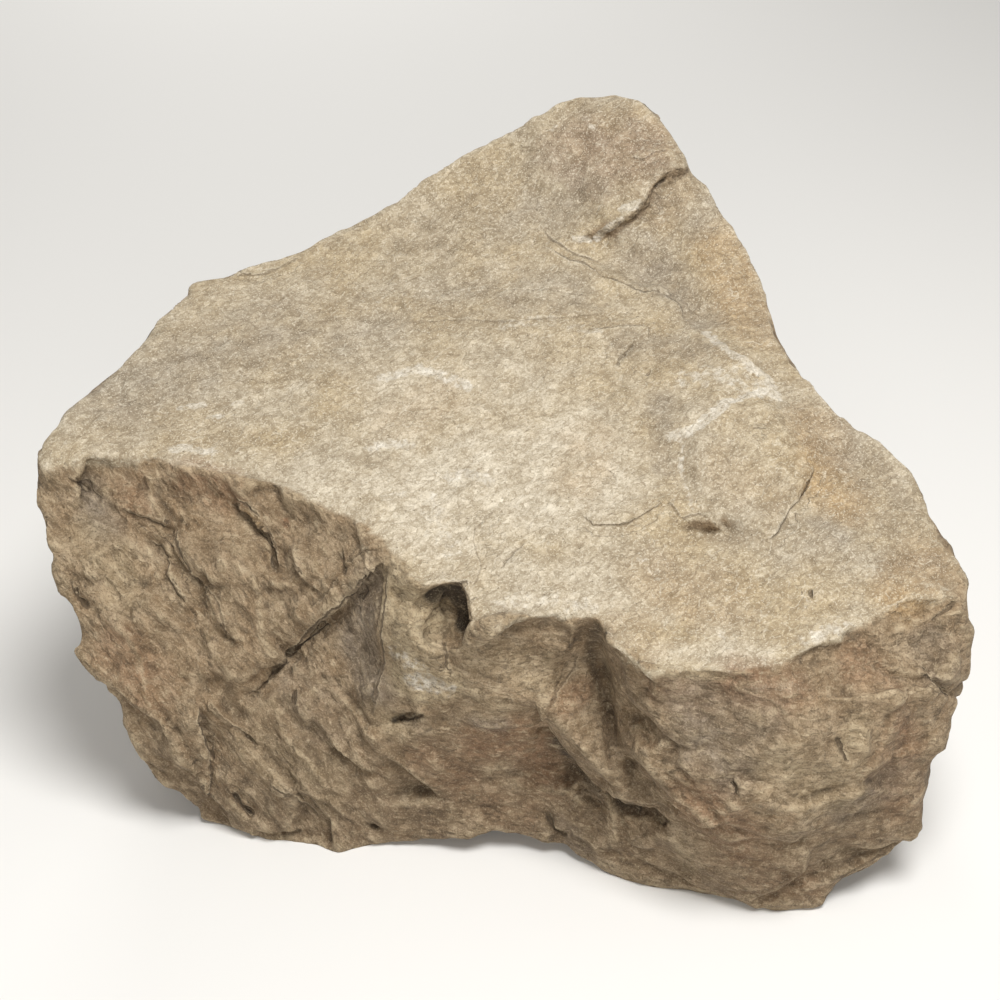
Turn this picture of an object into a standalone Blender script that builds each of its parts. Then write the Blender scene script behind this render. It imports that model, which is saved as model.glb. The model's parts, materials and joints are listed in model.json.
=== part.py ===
"""A quarried boulder of pale weathered limestone, about a metre wide, lying as it came to rest.

The stone is one solid. A tilted slab makes its top and climbs at the back to a peak. Broken faces
fall from the slab's front rim: a scarred one on the left, a low front with a pit at its corner, and
a swollen one on the right, which a notch parts from the front. It stands on a flat sole, z = 0.

The corners of the broken surface are named below, in metres, X across the front, Y to the back.
They are joined into one closed cage, which is then remeshed finely, worn round along its edges,
and carved with the ledges, grooves, hollows and lumps that the stone shows.
"""

import bmesh
import bpy
import numpy as np
from mathutils import Matrix, Vector, noise
from mathutils.bvhtree import BVHTree
from mathutils.geometry import delaunay_2d_cdt

# Driving dimensions, in metres.
SLAB_HEIGHT = 0.46  # the top slab above the ground, at y = 0
SLAB_PITCH = 0.30  # its rise towards the back, metres a metre
WING_START = -0.13  # left of this x the slab lifts a little more
WING_LIFT = 0.10  # metres a metre
HEART = Vector((0.04, 0.12, 0.16))  # a point inside, from which every corner can be seen
UNDERSIDE = Vector((0.03, -0.02, -0.03))  # where the underside closes, below the cut of the sole

CELL = 0.0085  # edge of the remeshed surface's quads
WEAR_PASSES = 4  # rounds of smoothing, which wear the edges to a radius of about a centimetre
WEAR_SHARE = 0.5  # how far one round takes a corner towards the middle of its neighbours
SLOPE_BROKEN = 0.55  # a surface whose way out points less upwards than this is a broken face
SLOPE_TOP = 0.85  # and one whose way out points more upwards than this is the top
TRIANGLES = 9300  # of the finished solid
EPSILON = 1e-7

# Corners on the top slab, as x, y and the rise above the slab's plane. A run is joined in order.
TOP_RUNS = {
    "back edge": [
        (-0.535, -0.150, -0.005), (-0.505, -0.110, 0.000), (-0.495, -0.070, -0.005),
        (-0.470, -0.055, 0.000), (-0.445, 0.000, 0.000), (-0.420, 0.075, -0.005),
        (-0.390, 0.100, 0.000), (-0.390, 0.135, -0.005), (-0.345, 0.150, 0.000),
        (-0.250, 0.210, 0.000), (-0.200, 0.255, 0.000), (-0.140, 0.265, 0.030),
        (-0.080, 0.315, 0.045), (0.015, 0.350, 0.070), (0.095, 0.370, 0.104), (0.155, 0.380, 0.106),
    ],
    "right shoulder": [
        (0.155, 0.380, 0.106), (0.185, 0.360, 0.106), (0.215, 0.340, 0.096), (0.225, 0.300, 0.086),
        (0.245, 0.275, 0.070), (0.270, 0.260, 0.052), (0.275, 0.240, 0.040), (0.305, 0.225, 0.026),
        (0.330, 0.175, 0.006), (0.345, 0.125, -0.004), (0.345, 0.065, 0.000), (0.350, 0.020, 0.008),
        (0.390, -0.055, 0.010), (0.435, -0.105, 0.006), (0.480, -0.145, -0.006),
        (0.485, -0.210, -0.007), (0.500, -0.245, -0.006), (0.520, -0.275, -0.012),
    ],
    "front rim": [
        (-0.535, -0.150, -0.005), (-0.515, -0.175, 0.000), (-0.480, -0.175, 0.000),
        (-0.445, -0.175, 0.000), (-0.405, -0.165, 0.000), (-0.345, -0.170, 0.000),
        (-0.290, -0.180, 0.000), (-0.230, -0.195, 0.000), (-0.175, -0.225, 0.000),
        (-0.140, -0.255, 0.000), (-0.125, -0.280, 0.000), (-0.075, -0.320, 0.000),
        (-0.030, -0.365, -0.005), (0.005, -0.355, 0.000), (0.050, -0.350, 0.000),
        (0.080, -0.355, 0.000), (0.105, -0.355, 0.000), (0.120, -0.385, 0.000),
        (0.140, -0.420, 0.000), (0.175, -0.425, 0.000), (0.215, -0.425, 0.000),
        (0.250, -0.425, 0.000), (0.295, -0.420, 0.000), (0.320, -0.405, 0.000),
        (0.365, -0.385, 0.000), (0.415, -0.360, 0.000), (0.445, -0.340, 0.000),
        (0.480, -0.335, 0.000), (0.520, -0.310, -0.022),
    ],
    "slab lip": [
        (0.040, 0.245, 0.012), (0.090, 0.210, 0.004), (0.130, 0.180, 0.003), (0.180, 0.145, 0.003),
        (0.220, 0.120, 0.000), (0.235, 0.090, -0.003),
    ],
    "saddle behind the lip": [
        (0.090, 0.230, 0.002), (0.130, 0.210, -0.005), (0.195, 0.180, -0.008), (0.240, 0.130, -0.008),
        (0.295, 0.090, -0.006),
    ],
}
TOP_SPOTS = {
    "slab": [
        (-0.415, -0.075, 0.000), (-0.305, -0.005, 0.004), (-0.295, -0.110, 0.003),
        (-0.255, 0.150, -0.003), (-0.150, 0.120, 0.000), (-0.145, -0.050, 0.004),
        (-0.070, -0.240, 0.004), (-0.025, -0.170, 0.006), (-0.025, 0.070, 0.003),
        (0.065, -0.280, 0.000), (0.070, -0.080, 0.004), (0.165, -0.330, -0.004),
        (0.285, -0.335, 0.000), (0.400, -0.295, 0.003),
    ],
    "peak": [
        (-0.155, 0.230, 0.008), (-0.090, 0.265, 0.014), (-0.060, 0.290, 0.030), (-0.015, 0.260, 0.018),
        (0.000, 0.285, 0.036), (0.060, 0.280, 0.050), (0.080, 0.310, 0.076), (0.130, 0.300, 0.081),
        (0.185, 0.290, 0.081), (0.115, 0.255, 0.052), (0.105, 0.220, 0.018), (0.150, 0.225, 0.042),
        (0.195, 0.250, 0.064), (0.225, 0.265, 0.074),
    ],
    "neck": [
        (0.245, 0.240, 0.046), (0.260, 0.210, 0.018), (0.300, 0.150, 0.000), (0.200, 0.215, 0.020),
        (0.220, 0.190, 0.002),
    ],
    "boss": [
        (0.185, 0.035, 0.008), (0.245, 0.045, 0.016), (0.295, -0.010, 0.024), (0.325, -0.040, 0.018),
        (0.235, -0.115, 0.022), (0.165, -0.100, 0.010), (0.115, -0.160, 0.008),
        (0.295, -0.145, 0.022), (0.360, -0.155, 0.012), (0.345, -0.205, 0.010),
        (0.300, -0.255, 0.004), (0.225, -0.225, 0.014), (0.160, -0.230, 0.010),
        (0.100, -0.230, 0.007), (0.250, -0.245, -0.006),
    ],
    "outer slope": [
        (0.360, -0.050, 0.004), (0.410, -0.130, -0.006), (0.410, -0.220, -0.004),
        (0.455, -0.230, -0.006), (0.470, -0.290, -0.003),
    ],
}

# Corners on the sides, as x, y and z. A run is joined in order.
SIDE_RUNS = {
    "right end": [
        (0.520, -0.310, 0.345), (0.530, -0.325, 0.300), (0.515, -0.340, 0.265), (0.510, -0.360, 0.230),
        (0.490, -0.385, 0.180), (0.485, -0.395, 0.140), (0.480, -0.410, 0.080), (0.455, -0.415, 0.055),
        (0.425, -0.415, 0.035), (0.400, -0.420, 0.020), (0.365, -0.450, 0.000),
    ],
    "front foot": [
        (0.365, -0.450, 0.000), (0.310, -0.450, 0.000), (0.275, -0.435, 0.000), (0.225, -0.415, 0.000),
        (0.150, -0.405, 0.000), (0.125, -0.395, 0.000), (0.085, -0.370, 0.010), (0.040, -0.355, 0.020),
        (0.000, -0.350, 0.030), (-0.065, -0.350, 0.020), (-0.130, -0.345, 0.005),
        (-0.195, -0.355, 0.000), (-0.280, -0.330, 0.000), (-0.365, -0.310, 0.005),
    ],
    "left end": [
        (-0.365, -0.310, 0.005), (-0.380, -0.305, 0.060), (-0.410, -0.310, 0.070),
        (-0.420, -0.315, 0.090), (-0.450, -0.285, 0.180), (-0.480, -0.280, 0.210),
        (-0.495, -0.275, 0.240), (-0.490, -0.265, 0.280), (-0.510, -0.235, 0.335),
        (-0.525, -0.225, 0.365), (-0.540, -0.190, 0.405),
    ],
    "upright edge": [
        (-0.130, -0.305, 0.295), (-0.130, -0.325, 0.220), (-0.145, -0.325, 0.160),
        (-0.165, -0.330, 0.080),
    ],
    "scar lip": [
        (-0.155, -0.265, 0.350), (-0.190, -0.265, 0.315), (-0.235, -0.270, 0.275),
        (-0.275, -0.280, 0.235),
    ],
    "scar floor": [
        (-0.140, -0.265, 0.335), (-0.180, -0.250, 0.290), (-0.225, -0.260, 0.250),
        (-0.265, -0.275, 0.210), (-0.295, -0.285, 0.185),
    ],
    "notch": [
        (0.098, -0.342, 0.310), (0.112, -0.322, 0.260), (0.122, -0.332, 0.215), (0.128, -0.358, 0.180),
    ],
    "under the prow": [
        (0.050, -0.338, 0.205), (0.060, -0.335, 0.155), (0.085, -0.340, 0.115), (0.115, -0.352, 0.095),
        (0.165, -0.385, 0.105),
    ],
    "sole": [
        (0.340, -0.410, -0.030), (0.260, -0.400, -0.030), (0.150, -0.370, -0.030),
        (0.080, -0.330, 0.000), (0.000, -0.300, 0.010), (-0.080, -0.300, 0.000),
        (-0.190, -0.320, -0.030), (-0.310, -0.280, -0.030), (-0.300, -0.140, -0.030),
        (-0.280, 0.000, -0.030), (-0.250, 0.130, -0.030), (-0.170, 0.220, -0.030),
        (-0.060, 0.280, -0.030), (0.110, 0.330, -0.030), (0.230, 0.240, -0.030),
        (0.290, 0.110, -0.030), (0.330, -0.020, -0.030), (0.350, -0.200, -0.030),
        (0.370, -0.340, -0.030),
    ],
}
SIDE_SPOTS = {
    "pale corner facet": [
        (-0.085, -0.340, 0.295), (-0.085, -0.345, 0.225), (-0.045, -0.355, 0.250),
        (-0.020, -0.360, 0.310),
    ],
    "low front": [
        (-0.080, -0.335, 0.125), (-0.025, -0.350, 0.175), (0.045, -0.350, 0.270),
        (0.000, -0.340, 0.090), (0.045, -0.345, 0.095), (-0.095, -0.335, 0.050),
        (0.040, -0.350, 0.180), (0.005, -0.360, 0.255),
    ],
    "prow": [
        (0.050, -0.360, 0.235), (0.080, -0.360, 0.305), (0.070, -0.375, 0.205),
        (0.100, -0.400, 0.195), (0.125, -0.400, 0.165),
    ],
    "right bulge": [
        (0.145, -0.410, 0.275), (0.155, -0.425, 0.210), (0.215, -0.455, 0.235),
        (0.295, -0.460, 0.270), (0.375, -0.435, 0.305), (0.420, -0.415, 0.315),
        (0.405, -0.440, 0.210), (0.330, -0.470, 0.160), (0.245, -0.460, 0.140),
        (0.175, -0.420, 0.085), (0.395, -0.435, 0.085), (0.115, -0.380, 0.045),
        (0.215, -0.440, 0.305), (0.310, -0.445, 0.310),
    ],
    "right corner facet": [
        (0.450, -0.390, 0.315), (0.505, -0.365, 0.250), (0.445, -0.415, 0.200),
    ],
    "scarred left face": [
        (-0.155, -0.280, 0.250), (-0.180, -0.295, 0.190), (-0.235, -0.300, 0.165),
        (-0.200, -0.325, 0.100), (-0.490, -0.180, 0.415), (-0.435, -0.175, 0.410),
        (-0.365, -0.175, 0.400), (-0.295, -0.180, 0.395), (-0.230, -0.200, 0.380),
        (-0.175, -0.230, 0.365), (-0.390, -0.190, 0.370), (-0.310, -0.230, 0.340),
        (-0.250, -0.220, 0.340), (-0.435, -0.235, 0.340), (-0.380, -0.225, 0.315),
        (-0.405, -0.260, 0.270), (-0.460, -0.260, 0.280), (-0.330, -0.255, 0.260),
        (-0.280, -0.250, 0.300), (-0.205, -0.240, 0.345), (-0.385, -0.295, 0.185),
        (-0.435, -0.280, 0.205), (-0.350, -0.300, 0.185), (-0.340, -0.295, 0.120),
        (-0.365, -0.310, 0.125), (-0.295, -0.310, 0.125), (-0.235, -0.330, 0.080),
        (-0.300, -0.325, 0.035),
    ],
    "left side": [
        (-0.530, -0.050, 0.300), (-0.470, -0.130, 0.160), (-0.490, 0.050, 0.220),
        (-0.400, 0.020, 0.060), (-0.500, 0.060, 0.360), (-0.410, 0.170, 0.300),
        (-0.370, 0.170, 0.120),
    ],
    "back": [
        (-0.330, 0.270, 0.360), (-0.280, 0.270, 0.160), (-0.200, 0.330, 0.420),
        (-0.140, 0.320, 0.220), (-0.030, 0.400, 0.400), (0.000, 0.420, 0.520),
        (0.100, 0.440, 0.580), (0.050, 0.420, 0.220), (0.170, 0.430, 0.420),
        (0.190, 0.410, 0.200), (0.220, 0.390, 0.550),
    ],
    "right side": [
        (0.280, 0.320, 0.450), (0.300, 0.300, 0.250), (0.360, 0.180, 0.360), (0.380, 0.160, 0.180),
        (0.450, 0.020, 0.300), (0.440, 0.020, 0.120), (0.510, -0.140, 0.330),
        (0.520, -0.160, 0.200), (0.490, -0.170, 0.060), (0.540, -0.270, 0.240),
        (0.520, -0.280, 0.120), (0.460, -0.310, 0.030),
    ],
    "heel": [
        (0.410, -0.220, 0.000), (0.410, -0.020, 0.000), (0.375, 0.130, 0.000), (0.300, 0.280, 0.000),
        (0.150, 0.400, 0.000), (-0.070, 0.350, 0.000), (-0.235, 0.270, 0.000), (-0.340, 0.170, 0.000),
        (-0.380, 0.000, 0.000), (-0.375, -0.150, 0.000), (-0.375, -0.240, 0.010),
    ],
}

# Ledges: the height of the step, how far its raised side reaches before it fades, and its path.
# Looking along the path from outside the stone, the raised side is on the left.
LEDGES = {
    "peak": (0.009, 0.060, [
        (0.105, 0.215, 0.540), (0.130, 0.220, 0.545), (0.160, 0.225, 0.555), (0.190, 0.230, 0.580),
        (0.195, 0.245, 0.595), (0.225, 0.260, 0.610), (0.245, 0.260, 0.620),
    ]),
    "slab lip": (0.005, 0.060, [
        (0.235, 0.085, 0.485), (0.220, 0.120, 0.495), (0.180, 0.150, 0.505), (0.130, 0.180, 0.515),
        (0.090, 0.210, 0.525), (0.040, 0.245, 0.545),
    ]),
    "back bedding": (0.014, 0.080, [
        (-0.390, 0.180, 0.250), (-0.260, 0.290, 0.270), (-0.100, 0.360, 0.300),
        (0.050, 0.420, 0.290), (0.170, 0.420, 0.310),
    ]),
    "right side bedding": (0.010, 0.070, [
        (0.300, 0.300, 0.300), (0.400, 0.130, 0.270), (0.470, 0.000, 0.240),
        (0.520, -0.140, 0.210),
    ]),
    "boss foot": (0.004, 0.070, [
        (0.095, -0.230, 0.400), (0.115, -0.240, 0.395), (0.145, -0.240, 0.395),
        (0.165, -0.225, 0.400), (0.185, -0.210, 0.405), (0.190, -0.190, 0.410),
    ]),
    "boss toe": (0.003, 0.050, [
        (0.200, -0.240, 0.400), (0.215, -0.230, 0.405), (0.230, -0.230, 0.400),
    ]),
    "boss side": (0.005, 0.070, [
        (0.300, -0.260, 0.385), (0.315, -0.240, 0.390), (0.335, -0.205, 0.405),
        (0.355, -0.175, 0.415), (0.365, -0.150, 0.425),
    ]),
    "prow": (0.020, 0.060, [
        (0.050, -0.355, 0.220), (0.065, -0.360, 0.180), (0.085, -0.370, 0.150),
        (0.115, -0.380, 0.120), (0.140, -0.385, 0.110), (0.165, -0.395, 0.115),
        (0.195, -0.410, 0.120),
    ]),
    "left step": (0.012, 0.050, [
        (-0.345, -0.310, 0.120), (-0.350, -0.305, 0.155), (-0.350, -0.295, 0.190),
    ]),
    "scallop": (0.008, 0.050, [
        (-0.275, -0.325, 0.085), (-0.240, -0.330, 0.055), (-0.215, -0.335, 0.040),
    ]),
}

# Grooves: half the width, the depth and the path.
GROOVES = {
    "scar": (0.014, 0.012, [
        (-0.135, -0.265, 0.350), (-0.180, -0.250, 0.290), (-0.225, -0.260, 0.250),
        (-0.265, -0.275, 0.210), (-0.295, -0.285, 0.185),
    ]),
    "left channel": (0.020, 0.010, [
        (-0.300, -0.185, 0.390), (-0.270, -0.200, 0.370), (-0.260, -0.210, 0.350),
        (-0.255, -0.230, 0.325),
    ]),
    "left valley": (0.018, 0.009, [
        (-0.400, -0.210, 0.350), (-0.370, -0.220, 0.330), (-0.335, -0.235, 0.300),
        (-0.325, -0.250, 0.275), (-0.315, -0.260, 0.255),
    ]),
    "left crack": (0.012, 0.006, [
        (-0.495, -0.240, 0.325), (-0.485, -0.255, 0.305), (-0.470, -0.260, 0.290),
    ]),
    "foot crack": (0.012, 0.010, [
        (-0.315, -0.325, 0.075), (-0.305, -0.330, 0.050), (-0.285, -0.330, 0.035),
    ]),
    "notch wall": (0.016, 0.012, [
        (0.100, -0.350, 0.340), (0.095, -0.350, 0.305), (0.110, -0.345, 0.245),
    ]),
    "front fork": (0.010, 0.004, [
        (0.050, -0.360, 0.240), (0.070, -0.360, 0.285), (0.095, -0.350, 0.320),
    ]),
    "lens": (0.011, 0.012, [
        (-0.130, -0.325, 0.180), (-0.115, -0.330, 0.190), (-0.095, -0.335, 0.185),
    ]),
    "crack under the pit": (0.009, 0.007, [
        (-0.060, -0.335, 0.305), (-0.060, -0.345, 0.285), (-0.050, -0.345, 0.265),
    ]),
    "low front crack": (0.012, 0.006, [
        (0.055, -0.350, 0.060), (0.075, -0.350, 0.030), (0.090, -0.350, 0.000),
    ]),
    "right corner crack": (0.010, 0.006, [
        (0.455, -0.390, 0.310), (0.480, -0.380, 0.280), (0.505, -0.365, 0.245),
    ]),
}

# Hollows: the radius, the depth and the middle. A lump is a hollow of negative depth.
HOLLOWS = {
    "left, under the rim": (0.035, 0.008, (-0.385, -0.195, 0.370)),
    "left end": (0.030, 0.008, (-0.470, -0.180, 0.415)),
    "foot hole": (0.012, 0.012, (-0.150, -0.335, 0.030)),
    "left lump": (0.050, -0.008, (-0.310, -0.230, 0.340)),
    "right bulge, dark": (0.060, 0.006, (0.375, -0.435, 0.305)),
    "right bulge, pale": (0.060, -0.006, (0.400, -0.440, 0.225)),
    "below the boss": (0.040, 0.004, (0.250, -0.235, 0.385)),
    "bulge nick": (0.014, 0.006, (0.255, -0.460, 0.205)),
}

# The pit at the rim's corner: its middle, half its size, and how far it is turned about Z and X.
PIT_MIDDLE = Vector((-0.060, -0.323, 0.327))
PIT_HALF = Vector((0.038, 0.044, 0.034))
PIT_TURN = -0.5
PIT_TIP = 0.4

LEDGE_RAISED = 0.7  # the share of a ledge's step that its upper side rises
LEDGE_SUNK = 0.3  # and the share that its foot sinks
FOOT_REACH = 0.4  # how far the sunken foot reaches, as a share of the ledge's reach

# Lumps all over: their wavelength, their height on a broken face and their height on the slab.
LUMPS = (
    (0.150, 0.0060, 0.0030),
    (0.055, 0.0035, 0.0012),
)
SCALLOP_LENGTH = 0.075  # the broken faces' shell-like hollows
SCALLOP_DEPTH = 0.0050
SCALLOP_CREST = 0.3  # the share of that depth that the crests between them stand proud
SCALLOP_FALL = 2.0  # and how fast the stone falls away from the crests

ROCK_COLOUR = (0.51, 0.42, 0.30, 1.0)
ROCK_ROUGHNESS = 0.92


def on_slab(corner):
    """A corner of the top, from its place in plan and its rise above the slab's plane."""
    x, y, rise = corner
    wing = WING_LIFT * max(0.0, WING_START - x)
    return Vector((x, y, SLAB_HEIGHT + SLAB_PITCH * y + wing + rise))


def gather_corners():
    """Every corner once, and the pairs of corners that the runs join."""
    runs = [[on_slab(corner) for corner in run] for run in TOP_RUNS.values()]
    runs += [[Vector(corner) for corner in run] for run in SIDE_RUNS.values()]
    runs += [[on_slab(corner)] for spots in TOP_SPOTS.values() for corner in spots]
    runs += [[Vector(corner)] for spots in SIDE_SPOTS.values() for corner in spots]
    places = {}
    corners = []
    joined = []
    for run in runs:
        before = None
        for corner in run:
            place = tuple(round(1000 * c) for c in corner)
            if place not in places:
                places[place] = len(corners)
                corners.append(corner)
            if before is not None:
                joined.append((before, places[place]))
            before = places[place]
    return corners, joined


def flattened(corner):
    """Where the direction of a corner falls when the sky round HEART is drawn on a flat map."""
    direction = (corner - HEART).normalized()
    return Vector((direction.x, direction.y)) / (1.0 + direction.z)


def build_cage():
    """The closed cage: the corners joined on the map, and its outer ring closed underneath."""
    corners, joined = gather_corners()
    flat = [flattened(corner) for corner in corners]
    _, _, triangles, sources, _, _ = delaunay_2d_cdt(flat, joined, [], 0, EPSILON)
    cage = bmesh.new()
    verts = [cage.verts.new(corners[source[0]]) for source in sources]
    for triangle in triangles:
        cage.faces.new([verts[i] for i in triangle])
    bottom = cage.verts.new(UNDERSIDE)
    for edge in [edge for edge in cage.edges if edge.is_boundary]:
        cage.faces.new((edge.verts[0], edge.verts[1], bottom))
    bmesh.ops.recalc_face_normals(cage, faces=cage.faces[:])
    return cage


def evaluated(boulder, kind, **settings):
    """Gives the object's mesh one modifier's result and takes the modifier away again."""
    modifier = boulder.modifiers.new(kind.title(), kind)
    for name, value in settings.items():
        setattr(modifier, name, value)
    bpy.context.view_layer.update()
    graph = bpy.context.evaluated_depsgraph_get()
    made = bpy.data.meshes.new_from_object(boulder.evaluated_get(graph))
    boulder.modifiers.clear()
    old = boulder.data
    boulder.data = made
    bpy.data.meshes.remove(old)


def smoothstep(low, high, values):
    """0 at or below low, 1 at or above high, and a smooth slope between."""
    share = np.clip((values - low) / (high - low), 0.0, 1.0)
    return share * share * (3.0 - 2.0 * share)


class Surface:
    """The remeshed surface as arrays: its points, the way out at each, and how level it is there."""

    def __init__(self, shape):
        shape.normal_update()
        self.points = np.array([v.co for v in shape.verts])
        self.out = np.array([v.normal for v in shape.verts])
        self.level = smoothstep(SLOPE_BROKEN, SLOPE_TOP, self.out[:, 2])
        self.tree = BVHTree.FromBMesh(shape)
        self.rise = np.zeros(len(self.points))

    def laid_on(self, path):
        """The path's points, each moved to the nearest place on the surface."""
        return [np.array(self.tree.find_nearest(Vector(point))[0]) for point in path]

    def nearest(self, path):
        """For each point, its distance to the path, the offset from it and the path's direction."""
        distance = np.full(len(self.points), np.inf)
        offset = np.zeros_like(self.points)
        heading = np.zeros_like(self.points)
        path = self.laid_on(path)
        for start, end in zip(path[:-1], path[1:]):
            along = end - start
            share = np.clip((self.points - start) @ along / (along @ along), 0.0, 1.0)
            away = self.points - (start + share[:, None] * along)
            far = np.linalg.norm(away, axis=1)
            closer = far < distance
            distance[closer] = far[closer]
            offset[closer] = away[closer]
            heading[closer] = along / np.linalg.norm(along)
        return distance, offset, heading

    def add_groove(self, half_width, depth, path):
        distance, _, _ = self.nearest(path)
        self.rise -= depth * smoothstep(0.0, 1.0, 1.0 - distance / half_width)

    def add_ledge(self, height, reach, path):
        """Raises the left side of the path, and sinks a narrow strip along its right side."""
        distance, offset, heading = self.nearest(path)
        side = np.einsum("ij,ij->i", np.cross(heading, offset), self.out)
        raised = smoothstep(-0.5 * CELL, 0.5 * CELL, side)
        fading = smoothstep(0.0, 1.0, 1.0 - distance / reach)
        foot = smoothstep(0.0, 1.0, 1.0 - distance / (FOOT_REACH * reach))
        self.rise += height * (LEDGE_RAISED * raised * fading - LEDGE_SUNK * (1.0 - raised) * foot)

    def add_hollow(self, radius, depth, middle):
        centre = self.laid_on([middle])[0]
        distance = np.linalg.norm(self.points - centre, axis=1)
        self.rise -= depth * smoothstep(0.0, 1.0, 1.0 - distance / radius)

    def add_lumps(self, wavelength, height_broken, height_slab):
        waves = np.array([noise.noise(Vector(p) / wavelength) for p in self.points])
        self.rise += waves * (height_broken + (height_slab - height_broken) * self.level)

    def add_scallops(self):
        """Shell-like hollows with sharp crests between them, on the broken faces alone."""
        waves = np.array([noise.noise(Vector(p) / SCALLOP_LENGTH + HEART) for p in self.points])
        fall = SCALLOP_CREST - SCALLOP_FALL * np.abs(waves)
        self.rise += SCALLOP_DEPTH * fall * (1.0 - self.level)

    def moved(self):
        return self.points + self.out * self.rise[:, None]


def carve(boulder):
    """Wears the cage's edges round and carves the named relief into the mesh."""
    shape = bmesh.new()
    shape.from_mesh(boulder.data)
    for _ in range(WEAR_PASSES):
        bmesh.ops.smooth_vert(
            shape,
            verts=shape.verts[:],
            factor=WEAR_SHARE,
            use_axis_x=True,
            use_axis_y=True,
            use_axis_z=True,
        )
    surface = Surface(shape)
    for ledge in LEDGES.values():
        surface.add_ledge(*ledge)
    for groove in GROOVES.values():
        surface.add_groove(*groove)
    for hollow in HOLLOWS.values():
        surface.add_hollow(*hollow)
    for lumps in LUMPS:
        surface.add_lumps(*lumps)
    surface.add_scallops()
    for vert, place in zip(shape.verts, surface.moved()):
        vert.co = place
    shape.to_mesh(boulder.data)
    shape.free()


def cut_pit(boulder):
    """Takes the pit out of the rim's corner with a ball-shaped cutter."""
    ball = bmesh.new()
    bmesh.ops.create_icosphere(ball, subdivisions=3, radius=1.0)
    bmesh.ops.scale(ball, vec=PIT_HALF, verts=ball.verts[:])
    mesh = bpy.data.meshes.new("pit cutter")
    ball.to_mesh(mesh)
    ball.free()
    cutter = bpy.data.objects.new("pit cutter", mesh)
    cutter.matrix_world = (
        Matrix.Translation(PIT_MIDDLE) @ Matrix.Rotation(PIT_TURN, 4, "Z") @ Matrix.Rotation(PIT_TIP, 4, "X")
    )
    cutter.hide_render = True
    cutter.display_type = "WIRE"
    bpy.context.scene.collection.objects.link(cutter)
    evaluated(boulder, "BOOLEAN", object=cutter, operation="DIFFERENCE", solver="EXACT")
    bpy.data.objects.remove(cutter)


def cut_sole(boulder):
    """Cuts the underside off level at z = 0, so that the stone stands flat."""
    shape = bmesh.new()
    shape.from_mesh(boulder.data)
    bmesh.ops.bisect_plane(
        shape,
        geom=shape.verts[:] + shape.edges[:] + shape.faces[:],
        plane_co=(0.0, 0.0, 0.0),
        plane_no=(0.0, 0.0, -1.0),
        clear_outer=True,
    )
    rim = [edge for edge in shape.edges if edge.is_boundary]
    bmesh.ops.triangle_fill(shape, use_beauty=True, edges=rim, normal=(0.0, 0.0, -1.0))
    bmesh.ops.triangulate(shape, faces=shape.faces[:])
    bmesh.ops.recalc_face_normals(shape, faces=shape.faces[:])
    shape.to_mesh(boulder.data)
    shape.free()


def centre_on_origin(boulder):
    """Moves the stone so that the middle of its box stands over the origin."""
    places = np.array([vert.co for vert in boulder.data.vertices])
    middle = (places.min(axis=0) + places.max(axis=0)) / 2.0
    boulder.data.transform(Matrix.Translation((-middle[0], -middle[1], 0.0)))


def rock_material():
    material = bpy.data.materials.new("weathered limestone")
    material.use_nodes = True
    shader = material.node_tree.nodes["Principled BSDF"]
    shader.inputs["Base Color"].default_value = ROCK_COLOUR
    shader.inputs["Roughness"].default_value = ROCK_ROUGHNESS
    return material


def build_boulder():
    cage = build_cage()
    mesh = bpy.data.meshes.new("boulder")
    cage.to_mesh(mesh)
    cage.free()
    boulder = bpy.data.objects.new("boulder", mesh)
    bpy.context.scene.collection.objects.link(boulder)
    evaluated(boulder, "REMESH", mode="VOXEL", voxel_size=CELL)
    carve(boulder)
    faces = sum(len(face.vertices) - 2 for face in boulder.data.polygons)
    evaluated(boulder, "DECIMATE", ratio=TRIANGLES / faces)
    cut_pit(boulder)
    cut_sole(boulder)
    centre_on_origin(boulder)
    boulder.data.name = "boulder"
    boulder.data.materials.clear()
    boulder.data.materials.append(rock_material())


for leftover in list(bpy.data.objects):
    bpy.data.objects.remove(leftover)
build_boulder()
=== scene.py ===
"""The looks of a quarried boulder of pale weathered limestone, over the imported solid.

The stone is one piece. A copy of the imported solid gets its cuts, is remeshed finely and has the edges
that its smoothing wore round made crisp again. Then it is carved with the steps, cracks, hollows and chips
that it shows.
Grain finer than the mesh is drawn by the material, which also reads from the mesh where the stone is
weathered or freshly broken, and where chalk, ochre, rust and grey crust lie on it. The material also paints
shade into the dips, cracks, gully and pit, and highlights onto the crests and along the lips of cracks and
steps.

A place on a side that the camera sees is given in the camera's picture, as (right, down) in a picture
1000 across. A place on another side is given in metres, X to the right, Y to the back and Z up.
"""

import itertools
import json
import logging
import math
from dataclasses import dataclass, field
from enum import Enum

import bmesh
import bpy
import numpy as np
from mathutils import Euler, Matrix, Vector, noise
from mathutils.bvhtree import BVHTree

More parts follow.
